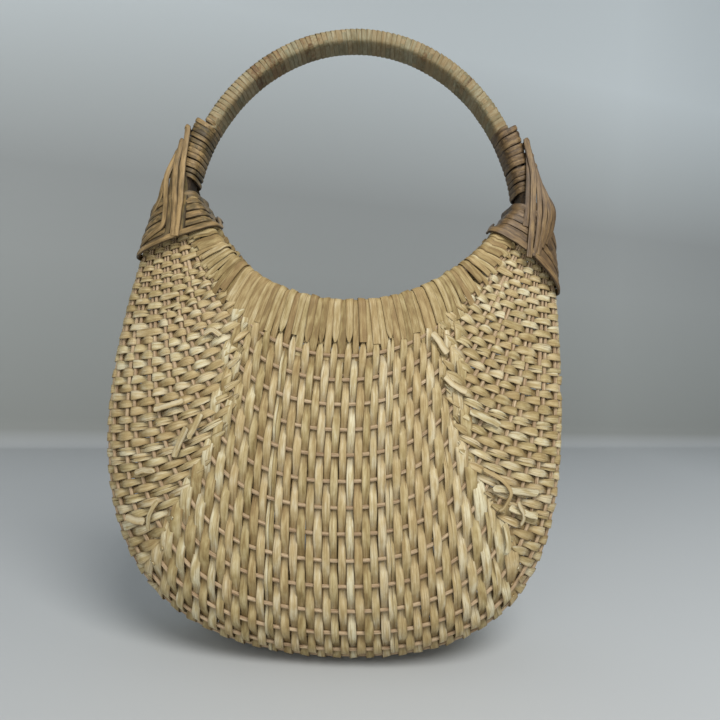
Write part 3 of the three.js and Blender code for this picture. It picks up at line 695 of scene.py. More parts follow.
# Ends that stand off the weave along its borders: points of spread, height and lift, size and tone
looseEnds = {
    -1: [
        ([(73, 142, 0.6), (76, 134, 1.6), (79, 128, 1.4)], 0.9, 0.75),
        ([(80, 134, 2.2), (84, 126, 1.5), (87, 117, 1.2)], 1.0, 0.9),
        ([(84, 148, 1.2), (92, 145, 2.4), (101, 142, 1.3)], 0.8, 0.95),
        ([(97, 108, 2.8), (103, 109, 2.0), (110, 106, 1.2)], 0.8, 0.8),
        ([(103, 80, 2.4), (109, 80, 1.7), (116, 80, 1.3)], 1.0, 0.95),
        ([(96, 92, 1.2), (100, 84, 2.4), (101, 76, 1.5)], 0.7, 0.6),
        ([(66, 186, 1.0), (71, 189, 2.6), (76, 186, 1.4)], 0.7, 0.8),
    ],
    1: [
        ([(52, 192, 2.6), (57, 187, 2.0), (61, 181, 1.2)], 0.9, 0.95),
        ([(60, 168, 2.4), (66, 163, 2.0), (73, 160, 1.2)], 0.8, 0.95),
        ([(90, 108, 1.4), (98, 107, 2.3), (108, 105, 1.6), (117, 104, 1.2)], 1.0, 1.0),
        ([(84, 118, 1.2), (94, 113, 3.0), (99, 106, 4.2), (97, 99, 3.2), (93, 95, 1.2)], 0.6, 0.4),
        ([(99, 97, 1.4), (107, 94, 2.6), (117, 91, 1.4)], 1.0, 1.0),
        ([(102, 100, 4.0), (108, 93, 3.0), (106, 87, 1.4)], 0.7, 0.95),
        ([(96, 88, 1.2), (99, 80, 2.6), (98, 72, 1.2)], 0.8, 0.85),
        ([(76, 150, 1.2), (84, 146, 2.6), (93, 142, 1.3)], 0.9, 0.7),
    ],
}
gridPlaces = np.linspace(20, keelPlace, 150)
gridAcross = np.linspace(0.2, 0.95, 150)
gridPoints = bagSurface(gridPlaces[:, None], gridAcross[None, :], lean=False)


def looseStrip(rng, side, line, size, tone):
    points, outward = [], []
    for spread, height, lift in cutCorners(line):
        away = (gridPoints[..., 0] - spread) ** 2 + (gridPoints[..., 2] - groundLift - height) ** 2
        row, column = np.unravel_index(np.argmin(away), away.shape)
        place, across = gridPlaces[row], gridAcross[column] * side
        out = outwardOf(place, across)
        points.append(bagSurface(place, across) + out * (lift + sideSet["looseLift"]))
        outward.append(out)
    points = np.array(points)
    points[1:-1] = (points[:-2] + 2 * points[1:-1] + points[2:]) / 4
    widen = np.full(len(points), size)
    widen[[0, -1]] = size * rng.uniform(*sideSet["looseEnd"], 2)
    return makePath(points, outward, over=sideSet["looseOver"], widen=widen,
                    tilt=rng.uniform(-sideSet["looseTilt"], sideSet["looseTilt"]), tone=tone)


def makeSide(side):
    rng = np.random.default_rng(sideSet["seed"] + side)
    dense = np.linspace(sideSet["edge"], 2 * keelPlace - sideSet["edge"], 521)
    keel = len(dense) // 2
    starts = np.linspace(0.02, 0.985, 160)
    keelHeights = bagSurface(keelPlace, starts, lean=False)[..., 2] - groundLift
    table = sideLines(dense, starts)

    def lineAt(level):
        start = np.interp(level, keelHeights, starts)
        return np.array([np.interp(start, starts, row) for row in table]) * side

    middle, index, paths = sideSet["topHeight"], 0, []
    while middle > sideSet["lowHeight"]:
        drop = sideSet["topHeight"] - middle - sideSet["pitchFrom"]
        step = lerp(sideSet["topPitch"][side], sideSet["lowPitch"], float(smooth(drop / sideSet["pitchOver"])))
        for level, pitch in splitStrips(rng, middle, step, sideSet["splitShare"]):
            lines = [lineAt(level + shift) for shift in (0, -pitch / 2, pitch / 2)]
            points = bagSurface(dense, lines[0], lean=False)
            border = borderX(side, points[:, 2]) - sideSet["borderOverlap"] - rng.uniform(*sideSet["borderJitter"])
            reach = (np.abs(points[:, 0]) > border) & (np.abs(lines[0]) > 0.02)
            if not reach[keel]:
                continue
            stopsLow, stopsHigh = np.flatnonzero(~reach[:keel]), np.flatnonzero(~reach[keel:])
            low = stopsLow[-1] + 1 if len(stopsLow) else 0
            high = keel + stopsHigh[0] - 1 if len(stopsHigh) else len(dense) - 1
            ends = [(sideSet["tip"], rng.uniform(*sideSet["tipLift"])) if stops else (0, 0)
                    for stops in (low > 0, high < len(dense) - 1)]
            paths.append(wovenStrip(rng, dense, lines, dense[low], dense[high], index, rng.uniform(0.15, 1),
                                    ends, sideSet))
        middle -= step
        index += 1
    paths.extend(looseStrip(rng, side, *end) for end in looseEnds[side])
    addPiece(sideName(side) + "SideStrips", paths, {**sideSet, "noiseSeed": sideSet["noiseSeed"] + side},
             stripMaterial, "woven_strip", sideName(side) + "_side_weave")


makeSide(-1)
makeSide(1)


# Rim rods
def makeRimRods():
    across = np.linspace(-0.99, 0.99, 90)
    paths = []
    for isFront in (True, False):
        places = np.full(across.shape, fromRim(isFront, 0.0))
        paths.append(makePath(bagSurface(places, across), outwardOf(places, across), tone=0.3))
    addPiece("rimRods", paths, {"width": 6, "thickness": 6, "squareness": 1.0, "sides": 12}, ribMaterial,
             "rattan_rod", "front_rim_rod", "back_rim_rod")


makeRimRods()


# Strips that turn over the rim rods. In the middle each carries on a strip of the centre.
bandSet = {
    "shortEdge": 22.0, "longEdge": 31.0, "endJitter": 1.5, "insideDrop": 22, "rodRadius": 3.0, "rodGap": 0.15,
    "frontGap": 0.55, "insideGap": 2.2, "tuck": 1.9, "tuckFrom": 1, "tuckOver": 6, "columnReach": 62,
    "outsideTo": 1.5, "insideFrom": 3, "insideJitter": 2,
    "earLean": 0.6, "leanFrom": 0.45, "leanOver": 0.4, "leanFade": 60,
    "outerPitch": 2.9, "outerJitter": 0.25, "outerSize": 0.8, "layers": 0.35, "shortLayer": 0.5,
    "stray": 0.7, "strayPower": 6,
    "footWiden": (0.62, 1.1), "endWiden": (0.8, 1.1), "frayShare": 0.4, "fray": (0.3, 0.6, 0.85, 0.95),
    # tones lower than the weave's give the rim strips painted shade, as they face up into the light
    "tilt": 0.26, "tones": (-0.5, 0.38), "seed": 5,
    "width": 4.9, "thickness": 0.5, "crown": 0.08, "wander": 0.4, "squareness": 0.3, "noiseSeed": 8,
}


# A line down the surface that starts square to the rim, and leans outward near the ears
def lineDown(isFront, across, lengths):
    def at(place, across):
        return bagSurface(fromRim(isFront, place), across)

    step, place, current = 1.0, 0.0, across
    placesRun, acrossRun = [place], [current]
    rim = unit(at(0.0, across + tiny) - at(0.0, across - tiny))
    while place < max(lengths) + 4:
        down = (at(place + 0.3, current) - at(place, current)) / 0.3
        along = (at(place, current + tiny) - at(place, current - tiny)) / (2 * tiny)
        lean = bandSet["earLean"] * float(smooth((abs(current) - bandSet["leanFrom"]) / bandSet["leanOver"]))
        lean = math.copysign(lean, current)
        slide = -np.dot(down, rim) / np.dot(along, rim) + lean * (np.linalg.norm(down) / np.linalg.norm(along))
        slide *= math.exp(-place / bandSet["leanFade"])
        size = np.linalg.norm(down + along * slide)
        place += step / size
        current += slide * step / size
        placesRun.append(place)
        acrossRun.append(current)
    run = np.arange(len(placesRun)) * step
    return np.interp(lengths, run, placesRun), np.interp(lengths, run, acrossRun)


# One strip: up from its lower end, over the rim rod, and down inside
def bandPath(rng, isFront, top, lowest, isLong, size):
    def surfaceAt(*distances):
        places, across = lineDown(isFront, top, np.array(distances))
        places = fromRim(isFront, places)
        return bagSurface(places, across), outwardOf(places, across)

    ring = bandSet["rodRadius"] + bandSet["thickness"] / 2 + bandSet["rodGap"]
    outside = np.linspace(lowest, bandSet["outsideTo"], 14)
    surface, out = surfaceAt(*outside)
    swing = lerp(ring, bandSet["frontGap"], np.clip(outside / bandSet["shortEdge"], 0, 1))
    if isLong:
        below = outside - bandSet["shortEdge"] - bandSet["tuckFrom"]
        swing = swing - bandSet["tuck"] * smooth(below / bandSet["tuckOver"])
    points = list(surface + out * swing[:, None])
    outward = list(out)
    (centre,), (rimOut,) = surfaceAt(0.0)
    (near,), _ = surfaceAt(bandSet["insideFrom"])
    rim = unit(bagSurface(fromRim(isFront, 0.0), top + tiny) - centre)
    downward = near - centre
    downward = unit(downward - rimOut * np.dot(downward, rimOut) - rim * np.dot(downward, rim))
    for angle in np.linspace(0, math.pi, 9):
        direction = rimOut * math.cos(angle) - downward * math.sin(angle)
        points.append(centre + direction * ring)
        outward.append(direction)
    deepest = bandSet["insideDrop"] + rng.uniform(-bandSet["insideJitter"], bandSet["insideJitter"])
    inside = np.linspace(bandSet["insideFrom"], deepest, 7)
    surface, out = surfaceAt(*inside)
    sunk = lerp(ring, bandSet["insideGap"], smooth(inside / bandSet["insideDrop"]))
    points.extend(surface - out * sunk[:, None])
    outward.extend(-out)
    points, outward = np.array(points), np.array(outward)
    # a few strips stand well off the others
    layer = (0.0 if isLong else bandSet["shortLayer"]) + rng.uniform(0, bandSet["layers"])
    layer += bandSet["stray"] * rng.uniform(0, 1) ** bandSet["strayPower"]
    widen = np.linspace(rng.uniform(*bandSet["footWiden"]), rng.uniform(*bandSet["endWiden"]), len(points)) * size
    if rng.uniform() < bandSet["frayShare"]:
        widen[:4] *= bandSet["fray"]
    return makePath(points + outward * layer, outward, widen=widen,
                    tilt=rng.uniform(-bandSet["tilt"], bandSet["tilt"]), tone=rng.uniform(*bandSet["tones"]))


def makeBand(isFront, name, node):
    rng = np.random.default_rng(bandSet["seed"] + isFront)
    tops = np.linspace(-0.93, 0.93, 81)
    lower = [lineDown(isFront, top, np.array([bandSet["shortEdge"]]))[1][0] for top in tops]
    reached = [0.0, 0.0]
    starts = []
    for rest, isShort in centreColumns:
        across, wanted = columnAcross(rest)
        if wanted[0] < bandSet["columnReach"]:
            top = float(np.interp(np.interp(bandSet["shortEdge"], columnDense, across), lower, tops))
            reached[rest > 0] = max(reached[rest > 0], abs(top))
            starts.append((top, isShort, 1.0))
    table = np.linspace(-0.97, 0.97, 400)
    run = runAlong(bagSurface(fromRim(isFront, 0.0), table))
    for side in (-1, 1):
        first = float(np.interp(reached[side > 0] * side, table, run))
        last = run[-1] if side > 0 else 0.0
        for index in range(int(abs(last - first) / bandSet["outerPitch"])):
            shift = 0.9 + rng.uniform(-bandSet["outerJitter"], bandSet["outerJitter"])
            middle = first + side * (index + shift) * bandSet["outerPitch"]
            starts.append((float(np.interp(middle, run, table)), index % 2 == 1, bandSet["outerSize"]))
    paths = []
    for top, isShort, size in starts:
        lowest = bandSet["shortEdge" if isShort else "longEdge"]
        lowest += rng.uniform(-bandSet["endJitter"], bandSet["endJitter"])
        paths.append(bandPath(rng, isFront, top, lowest, not isShort, size))
    addPiece(name, paths, bandSet, stripMaterial, "woven_strip", node)


makeBand(True, "frontRimStrips", "front_rim_binding")
makeBand(False, "backRimStrips", "back_rim_binding")


# Handle hoop: half of an ellipse with short legs into the ears. Lift is the room under a winding.
hoopSet = {"spread": 107, "rise": 121, "foot": 15, "width": 20, "thickness": 5.5, "lift": 0.35, "steps": 28,
           "edgeTurn": 1.2}
wrapSet = {
    "turns": 72, "jitter": 0.35, "overlap": 1, "widen": (0.8, 1.12), "tilt": 0.12, "tiltJitter": (-0.05, 0.07),
    "corners": (0.3, 0.35), "sag": 1.8, "seed": 31,
    # tones go by groups of turns, as one strip after another is used up, and a little by turn
    "group": 4, "groupTones": (0.35, 1), "groupShare": 0.6, "ownTones": (0, 0.4), "darkTurns": 5, "darkTone": 0.1,
    # turns of brown strip, where the photo has them
    "brownTurns": {12: 0.0, 22: -0.1, 46: -0.3, 47: -0.05, 53: -0.3, 54: -0.1, 55: -0.35, 58: -0.35, 59: -0.2},
    "width": 3.9, "thickness": 0.5, "crown": 0.05, "wander": 0.35, "squareness": 0.3, "noiseSeed": 9,
}
lashSet = {
    "turns": 13, "jitter": 0.6, "start": 11, "length": {-1: 39.5, 1: 43}, "early": {-1: 3.5, 1: 2},
    "bulge": {-1: 2.4, 1: 2.2}, "widen": (0.72, 1.04), "tilt": 0.1, "corners": (0.5, 0.55), "sag": 1.0,
    "tones": {
        -1: [0.4, 0.45, 0.1, 0.8, 0.95, 0.75, 0.9, 0.35, 0.1, 0.25, 0.05, 0.3, 0.75, 0.7],
        1: [0.5, 0.7, 0.55, 0.75, 0.45, 0.65, 0.8, 0.5, 0.3, 0.6, 0.75, 0.4, 0.55, 0.45],
    },
    "seed": 41, "width": 3.7, "thickness": 1.5, "crown": 0.34, "wander": 0.8, "squareness": 0.45, "noiseSeed": 12,
}
hoopHeight = bagShape["earHeight"] - hoopSet["foot"] + groundLift


def onHoop(angle, wide, high):
    return np.stack([wide * np.cos(angle), np.zeros(np.shape(angle)), high * np.sin(angle)], -1)


def hoopPoint(angle):
    return onHoop(angle, hoopSet["spread"], hoopSet["rise"]) + [0, 0, hoopHeight]


def hoopOut(angle):
    return unit(onHoop(angle, 1 / hoopSet["spread"], 1 / hoopSet["rise"]))


hoopAngles = np.linspace(0, math.pi, 721)
hoopRun = runAlong(hoopPoint(hoopAngles))
lashBase = float(np.interp(bagShape["earHeight"] + lashSet["start"] + groundLift,
                           hoopPoint(hoopAngles)[:360, 2], hoopRun[:360]))


# A strip wound round the hoop; turnRuns gives the distance along it at each whole turn
def hoopWinding(rng, turnRuns, tones, section, side=1, bulge=0.0):
    turns = section["turns"]
    turn = np.linspace(0, turns, turns * hoopSet["steps"] + 1)

    def byTurn(values):
        return np.interp(turn, np.arange(len(values)), values)

    angle = turn * 2 * math.pi
    at = np.interp(byTurn(turnRuns), hoopRun, hoopAngles)
    centre, out = hoopPoint(at), hoopOut(at)
    lift = section["thickness"] / 2 + hoopSet["lift"]
    wide, thick = hoopSet["width"] / 2 + lift, hoopSet["thickness"] / 2 + lift
    depth, rise = -np.cos(angle), np.sin(angle)
    y = wide * signedPower(depth, section["corners"][0])
    bulged = bulge * turn / turns
    up = (thick + bulged) * signedPower(rise, section["corners"][1]) + bulged - section["sag"] * (1 - rise) / 2
    back = np.array([0, 1, 0])
    points = centre + out * up[:, None] + back * y[:, None]
    outward = out * (rise / thick)[:, None]
    outward = outward + back * (signedPower(depth, hoopSet["edgeTurn"]) / wide)[:, None]
    widen = byTurn(rng.uniform(*section["widen"], turns + 1))
    tilt = section["tilt"]
    if "tiltJitter" in section:
        tilt = tilt + byTurn(rng.uniform(*section["tiltJitter"], turns + 1))
    mirror = [side, 1, 1]
    return makePath(points * mirror, outward * mirror, tone=byTurn(tones), tilt=tilt, widen=widen)


def makeHandleWrap():
    rng = np.random.default_rng(wrapSet["seed"])
    turns, overlap, length = wrapSet["turns"], wrapSet["overlap"], lashSet["length"]
    runs = np.linspace(lashBase + length[1] - overlap, hoopRun[-1] - lashBase - length[-1] + overlap, turns + 1)
    runs[1:-1] += rng.uniform(-wrapSet["jitter"], wrapSet["jitter"], turns - 1)
    group = wrapSet["group"]
    tones = np.repeat(rng.uniform(*wrapSet["groupTones"], turns // group + 2), group)[:turns + 1]
    tones = tones * wrapSet["groupShare"] + rng.uniform(*wrapSet["ownTones"], turns + 1)
    tones[rng.integers(0, turns, wrapSet["darkTurns"])] = wrapSet["darkTone"]
    for turn, tone in wrapSet["brownTurns"].items():
        tones[turn] = tone
    addPiece("handleWrap", [hoopWinding(rng, runs, tones, wrapSet)], wrapSet, wrapMaterial, "wrapping_strip",
             "left_handle_wrap", "right_handle_wrap")


def makeHandleLashing(side):
    rng = np.random.default_rng(lashSet["seed"] + side)
    runs = lashBase + np.linspace(0, lashSet["length"][side], lashSet["turns"] + 1)
    runs[1:-1] += rng.uniform(-lashSet["jitter"], lashSet["jitter"], lashSet["turns"] - 1)
    runs[0] -= lashSet["early"][side]
    name = sideName(side)
    path = hoopWinding(rng, runs, lashSet["tones"][side], lashSet, side, lashSet["bulge"][side])
    addPiece(name + "HandleLashing", [path], {**lashSet, "noiseSeed": lashSet["noiseSeed"] + side},
             caneMaterials[side], name + "_cane", name + "_handle_lashing")


makeHandleWrap()
makeHandleLashing(-1)
makeHandleLashing(1)


# Ears: nested courses of flat cane round the place where ribs, rims and handle meet.
# A course falls towards the outer side of the ear, the top ones more steeply there.
earSet = {
    "courses": 6, "outerX": 124, "blunt": 0.7, "room": 0.9, "footCover": 4.0, "backSqueeze": 0.55, "seed": 61,
    "startOver": 0.15, "startWiden": 0.4, "widen": (0.88, 1.06), "tilt": 0.04, "keelRoom": 0.3,
    # a pair gives where something begins or ends, and over how long it grows or fades
    "backFrom": (0.08, 0.15), "backTo": (0.56, 0.12), "coverFrom": (0.03, 0.27), "coverTo": 0.9,
    "sway": 0.25, "swayRate": 2.4,
    "tones": [0.85, 0.75, 0.3, 0.65, 0.2, 0.5, 0.35],
    "width": 4.6, "thickness": 1.5, "crown": 0.32, "wander": 0.5, "squareness": 0.4, "noiseSeed": 16,
}
earSides = {
    -1: {"innerX": (82, 96), "innerZ": (249, 271), "innerSlope": (0.37, 0.02), "outerZ": (232, 259)},
    1: {"innerX": (88, 99), "innerZ": (253, 272), "innerSlope": (0.45, 0.15), "outerZ": (227.5, 252)},
}
topCourse = earSet["courses"] - 0.6


def courseHeight(ear, course, x):
    share = course / (earSet["courses"] - 1)
    innerX, innerZ, slope, outerZ = (
        lerp(*ear[name], share) for name in ("innerX", "innerZ", "innerSlope", "outerZ"))
    reach = earSet["outerX"] - innerX
    bend = (innerZ - slope * reach - outerZ) / reach ** 2
    run = x - innerX
    return innerZ - slope * run - bend * np.maximum(run, 0) ** 2


earAcross = np.linspace(0.5, 0.9999, 300)
earRod = bagSurface(0.0, earAcross, lean=False)
earKeel = bagSurface(keelPlace, earAcross, lean=False)


def meetCourse(ear, line, course):
    gap = line[:, 2] - groundLift - courseHeight(ear, course, line[:, 0])
    first = int(np.argmax(gap > 0)) if (gap > 0).any() else len(gap) - 1
    share = np.clip(-gap[first - 1] / (gap[first] - gap[first - 1]), 0, 1)
    return lerp(line[first - 1], line[first], share)


def earLoop(ear, course, grow):
    rod, keel = meetCourse(ear, earRod, course), meetCourse(ear, earKeel, course)
    inner, half = rod[0], abs(rod[1])
    ring = bandSet["rodRadius"] + earSet["room"] + grow
    reach = max(keel[0] - inner, 1) + bagShape["ribDiameter"] / 2 + earSet["keelRoom"] + grow
    angle = np.linspace(0, math.pi / 2, 15)
    corner = np.linspace(0, math.pi / 2, 6)[1:]
    x = np.concatenate([inner + reach * np.cos(angle) ** earSet["blunt"], inner - ring * np.sin(corner),
                        np.full(3, inner - ring)])
    y = np.concatenate([(half + ring) * np.sin(angle) ** earSet["blunt"], half + ring * np.cos(corner),
                        half * np.array([0.66, 0.33, 0.0])])
    x, y = np.concatenate([x, x[-2:0:-1]]), np.concatenate([y, -y[-2:0:-1]])
    return np.stack([x, y, courseHeight(ear, course, x) + groundLift], -1)


# Mirrors a path on the left, and leans both sides like the belly
def seated(side, points, outward):
    mirror = [side, 1, 1]
    points, outward = points * mirror, outward * mirror
    points[:, 0] = leanedX(points[:, 0], points[:, 2])
    return points, outward


def grows(value, start, over):
    return smooth((value - start) / over)


def earPath(side, rng):
    ear = earSides[side]
    loops = earSet["courses"]
    perLoop = len(earLoop(ear, 0, 0))
    count = perLoop * loops
    step = 0.12
    turned = np.arange(perLoop) / perLoop
    backEnd, fade = earSet["backTo"]
    backShare = grows(turned, *earSet["backFrom"]) * smooth((backEnd - turned) / fade)
    points, outward = [], []
    for index, course in enumerate(np.linspace(0, topCourse, count)):
        at = index % perLoop
        # the first course covers the feet of the long canes, and its own start lies close to the ribs
        cover = float(smooth(1 - course / earSet["coverTo"]) * grows(course, *earSet["coverFrom"]))
        grow = earSet["thickness"] / 2 + earSet["footCover"] * cover
        # behind the mouth the courses are drawn together, higher up
        drawn = lerp(course, topCourse, earSet["backSqueeze"])
        here, above = (lerp(earLoop(ear, course + lift, grow), earLoop(ear, drawn + lift, grow), backShare[:, None])
                       for lift in (0, step))
        out = np.cross(here[(at + 1) % perLoop] - here[at - 1], above[at] - here[at])
        points.append(here[at])
        outward.append(out / np.linalg.norm(out))
    points, outward = np.array(points), np.array(outward)
    middle = points[:, :2].mean(0)
    if np.einsum("ij,ij->i", outward[:, :2], points[:, :2] - middle).mean() < 0:
        outward = -outward
    points, outward = seated(side, points, outward)
    turn = np.arange(count) / perLoop
    whole = np.arange(loops + 1)
    tone = np.interp(turn, whole, earSet["tones"])
    widen = np.interp(turn, whole, rng.uniform(*earSet["widen"], loops + 1))
    widen = widen * lerp(earSet["startWiden"], 1.0, smooth(turn / earSet["startOver"]))
    points = points + outward * (earSet["sway"] * np.sin(turn * earSet["swayRate"]))[:, None]
    return makePath(points, outward, tone=tone, widen=widen,
                    tilt=rng.uniform(-earSet["tilt"], earSet["tilt"]))


# Long canes: each comes over the outer side of the handle and runs down the front and the back
# of the ear; the ones that stop early turn aside along a course.
# For each: its top, how high it lies over the others, its tone, and points of spread and height.
caneSet = {"width": 3.8, "thickness": 1.3, "crown": 0.32, "wander": 0.4, "squareness": 0.4, "noiseSeed": 18,
           "shoulder": 262, "lashedTo": 268.0, "turn": 1.4, "topRise": 1.5, "sunk": 1.0, "spacing": 1.5,
           "edgeLayer": 0.6, "topLayer": 0.5, "slopes": (-0.3, 3), "widen": (0.85, 1.08), "tilt": 0.08}
caneLines = {
    -1: [
        (312, 1.0, 0.95, [(101.8, 246), (102.2, 250), (103.0, 260), (104.3, 273), (104.8, 286), (105.2, 298)]),
        (294, 0.0, 0.15, [(99.2, 247), (100.5, 258), (101.8, 270), (103.2, 282)]),
        (299, 0.0, 0.1, [(103.4, 245), (103.8, 252), (105.0, 262), (106.6, 274), (107.2, 288)]),
        (304, 0.6, 0.8, [(104.2, 246), (105.2, 255), (106.8, 264), (108.3, 273), (109.6, 286), (110.0, 293)]),
        (297, 0.7, 0.9, [(125.5, 242), (117.1, 248.9), (111.6, 252.4), (112.0, 260.7), (113.8, 271),
                         (115.2, 281), (114.9, 287)]),
        (290, 0.1, 0.1, [(126, 237.5), (116.5, 242.4), (108, 245.8), (108.2, 252), (110.0, 264), (111.8, 276)]),
        (291, 0.0, 0.6, [(126.5, 253), (121.6, 262), (117.8, 269), (117.0, 277), (116.2, 283)]),
    ],
    1: [
        (313, 1.0, 0.85, [(106.2, 243), (106.5, 251), (106.9, 262), (107.3, 274), (107.6, 286), (108, 298)]),
        (308, 0.0, 0.1, [(103.0, 262), (104.3, 274), (105.2, 286), (105.8, 297)]),
        (305, 0.3, 0.5, [(109.6, 244), (111.0, 255.8), (111.6, 268), (111.7, 280), (111.6, 290)]),
        (299, 0.6, 0.75, [(112.2, 245), (114.2, 259), (115.0, 271), (115.2, 283)]),
        (293, 0.3, 0.6, [(114.2, 250), (117.4, 262.3), (118.6, 271.5), (117.6, 280.6)]),
        (288, 0.0, 0.45, [(117.5, 252), (120.4, 262), (121.3, 270), (120.6, 277)]),
    ],
}
faceCourses = np.linspace(-1.2, topCourse, 32)
for ear in earSides.values():
    ear["faces"] = [earLoop(ear, course, 0.0) for course in faceCourses]


# How far in front of the middle the ear's lashed face lies at a spread and height
def earFace(ear, x, z):
    heights = np.array([courseHeight(ear, course, x) for course in faceCourses])
    at = float(np.interp(min(z, caneSet["lashedTo"]), heights, np.arange(len(faceCourses))))
    near, far = (np.interp(x, loop[19::-1, 0], loop[19::-1, 1])
                 for loop in (ear["faces"][int(at)], ear["faces"][min(int(at) + 1, len(faceCourses) - 1)]))
    return lerp(near, far, at - int(at)) + earSet["thickness"]


# A line with rounded corners and evenly spaced points
def rounded(line):
    line = cutCorners(line)
    steps = runAlong(line)
    even = np.linspace(0, steps[-1], int(steps[-1] / caneSet["spacing"]) + 2)
    return np.stack([np.interp(even, steps, line[:, k]) for k in range(2)], -1)


def canePath(side, rng, top, layer, tone, line):
    ear = earSides[side]
    half = caneSet["thickness"] / 2
    lashed = hoopSet["lift"] + lashSet["thickness"]
    edge = hoopSet["width"] / 2 + lashed + half + layer * caneSet["edgeLayer"]
    angle = math.asin((top - hoopHeight) / hoopSet["rise"])
    centre = np.array([hoopSet["spread"] * math.cos(angle), 0.0, top])
    out = hoopOut(angle)
    rise = hoopSet["thickness"] / 2 + lashed - caneSet["sunk"] + layer * caneSet["topLayer"]
    rise += 2 * lashSet["bulge"][side]
    corner = centre + out * rise
    points, outward = [], []
    for x, z in rounded([*line, (corner[0], corner[2])]):
        share = smooth((z - caneSet["shoulder"]) / (top - caneSet["shoulder"]))
        points.append([x, -lerp(earFace(ear, x, z) + half + layer, edge, share), z])
        slope = (earFace(ear, x + 0.5, z) - earFace(ear, x - 0.5, z)) * (1 - share)
        outward.append(unit(np.array([np.clip(-slope, *caneSet["slopes"]), -1.0, 0.0])))
    turn = caneSet["turn"]
    for bend in np.array([0.3, 0.6, 0.9]) * math.pi / 2:
        depth = edge - turn * (1 - math.cos(bend))
        points.append(corner + out * (turn * math.sin(bend)) + np.array([0, -depth, 0]))
        outward.append(unit(out * math.sin(bend) - np.array([0, math.cos(bend), 0])))
    for depth in (edge * 0.5, 0.0):
        points.append(corner + out * caneSet["topRise"] + np.array([0, -depth, 0]))
        outward.append(out)
    # and the same behind
    points, outward = (np.vstack([run, run[-2::-1] * np.array([1, -1, 1])]) for run in (points, outward))
    points, outward = seated(side, points, outward)
    return makePath(points, outward, tone=tone, widen=rng.uniform(*caneSet["widen"]),
                    tilt=rng.uniform(-caneSet["tilt"], caneSet["tilt"]))


def makeEar(side):
    name, material = sideName(side), caneMaterials[side]
    rng = np.random.default_rng(earSet["seed"] + side)
    addPiece(name + "EarCourses", [earPath(side, rng)], {**earSet, "noiseSeed": earSet["noiseSeed"] + side},
             material, name + "_cane", name + "_ear_lashing")
    canes = [canePath(side, rng, *cane) for cane in caneLines[side]]
    addPiece(name + "EarCanes", canes, {**caneSet, "noiseSeed": caneSet["noiseSeed"] + side},
             material, name + "_cane", *[f"{name}_ear_strut_{index + 1}" for index in range(5)])


makeEar(-1)
makeEar(1)


# The rod inside the handle keeps its own solid and shows only in slits of the wrapping.
# It holds no facts of a strip, so its grain comes from its place.
coreLook = {"scale": 420.0, "relief": 0.6, "rough": 0.65, "tones": [(0.3, (52, 39, 25)), (0.7, (84, 66, 42))]}


def coreMaterial():
    material, tree = newMaterial("hiddenRod")
    place = addNode(tree, "ShaderNodeTexCoord").outputs["Object"]
    grain = addNode(tree, "ShaderNodeTexNoise", {
        "Vector": place, "Scale": coreLook["scale"], "Detail": 4.0}).outputs["Fac"]
    relief = addNode(tree, "ShaderNodeBump", {
        "Strength": coreLook["relief"], "Distance": fibreSet["reliefDepth"], "Height": grain}).outputs[0]
    setInputs(tree, tree.nodes["Principled BSDF"], {
        "Base Color": colorRamp(tree, grain, coreLook["tones"]), "Roughness": coreLook["rough"], "Normal": relief})
    return material


hiddenRod = coreMaterial()
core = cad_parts["handle_core"]
for materialSlot in core.material_slots:
    materialSlot.material = hiddenRod
print("handle core finished:", len(core.material_slots), "slots")


# Ground, backdrop and light. The stage is in metres; its tones go by height, with painted shade on the lower wall
# behind the bag and painted light that pales the wall towards the top.
stageSet = {
    "near": -1.6, "bend": 0.97, "bendTurn": 0.367, "bendRadius": 0.05, "height": 2.4, "half": 2.6,
    "paintedShadeSideFade": 0.17, "paintedShadeEdgeLift": 0.5, "most": 1.3, "rough": 0.85,
    "tones": [(0.0, (188, 192, 194)), (0.03, (152, 155, 152)), (0.2, (158, 162, 160)), (0.35, (163, 167, 166)),
              (0.5, (160, 164, 164)), (0.65, (182, 188, 189)), (0.85, (208, 216, 219))],
}
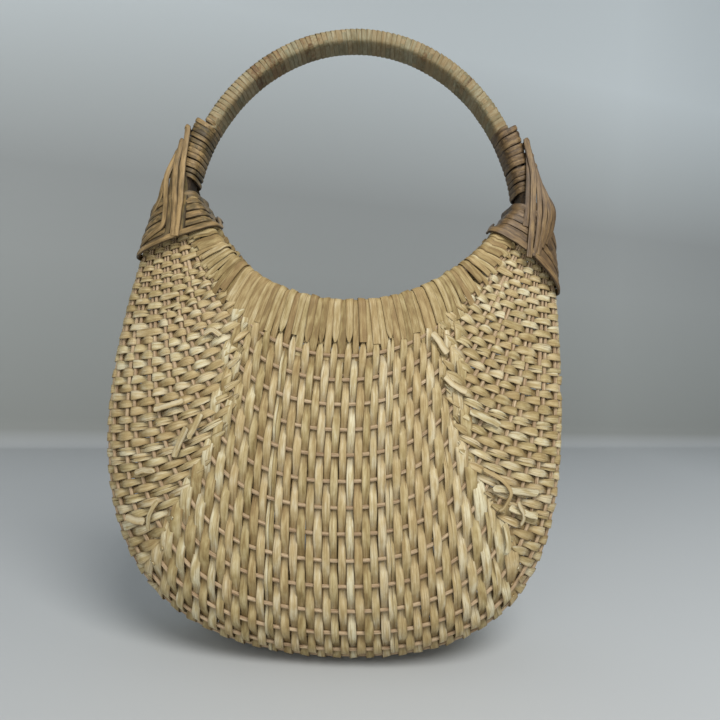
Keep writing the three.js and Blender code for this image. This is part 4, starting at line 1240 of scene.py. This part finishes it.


# A pale ground whose wall has painted shade low down and painted light that makes it lighter towards the top
def groundMaterial():
    material, tree = newMaterial("paleGround")
    place = addNode(tree, "ShaderNodeTexCoord").outputs["Object"]
    spread, _, height = addNode(tree, "ShaderNodeSeparateXYZ", {0: place}).outputs
    # painted shade: a little darker towards the left, where the bag's shadow falls, and darker in the middle behind
    # the bag, paler away from the middle
    level = calc(tree, "ADD", calc(tree, "MULTIPLY", spread, stageSet["paintedShadeSideFade"]), 1.0)
    lift = calc(tree, "MULTIPLY", calc(tree, "MULTIPLY", spread, spread), stageSet["paintedShadeEdgeLift"])
    level = calc(tree, "MINIMUM", calc(tree, "ADD", level, lift), stageSet["most"])
    setInputs(tree, tree.nodes["Principled BSDF"], {
        "Base Color": scaled(tree, colorRamp(tree, height, stageSet["tones"]), level),
        "Roughness": stageSet["rough"]})
    return material


def makeStage():
    radius = stageSet["bendRadius"]
    profile = [(stageSet["near"], 0.0), (stageSet["bend"], 0.0)]
    for step in range(1, 13):
        angle = step / 12 * math.pi / 2
        profile.append((stageSet["bend"] + radius * math.sin(angle), radius * (1 - math.cos(angle))))
    profile.append((stageSet["bend"] + radius, stageSet["height"]))
    vertices = [(x, y + (x * stageSet["bendTurn"] if y > stageSet["near"] else 0), z)
                for y, z in profile for x in (-stageSet["half"], stageSet["half"])]
    faces = [(2 * k, 2 * k + 1, 2 * k + 3, 2 * k + 2) for k in range(len(profile) - 1)]
    mesh = bpy.data.meshes.new("paleSweep")
    mesh.from_pydata(vertices, [], faces)
    for face in mesh.polygons:
        face.use_smooth = True
    mesh.materials.append(groundMaterial())
    ground = bpy.data.objects.new("paleSweep", mesh)
    bpy.context.scene.collection.objects.link(ground)


def addLamp(name, place, size, power, color):
    data = bpy.data.lights.new(name, "AREA")
    data.shape = "DISK"
    data.size = size
    data.energy = power
    data.color = color
    lamp = bpy.data.objects.new(name, data)
    bpy.context.scene.collection.objects.link(lamp)
    lamp.location = place
    lamp.rotation_mode = "QUATERNION"
    lamp.rotation_quaternion = (Vector((0, 0, 0.15)) - Vector(place)).to_track_quat("-Z", "Y")


makeStage()
addLamp("softAbove", (0.35, -0.95, 1.05), 0.7, 16, (1.0, 0.98, 0.95))
addLamp("softFront", (-0.3, -1.4, 0.5), 1.0, 5.6, (1.0, 0.99, 0.97))
world = bpy.data.worlds.new("softRoom")
bpy.context.scene.world = world
world.use_nodes = True
setInputs(world.node_tree, world.node_tree.nodes["Background"], {"Color": (0.80, 0.84, 0.88, 1), "Strength": 0.36})
bpy.context.scene.view_settings.view_transform = "Standard"
print("stage ready")
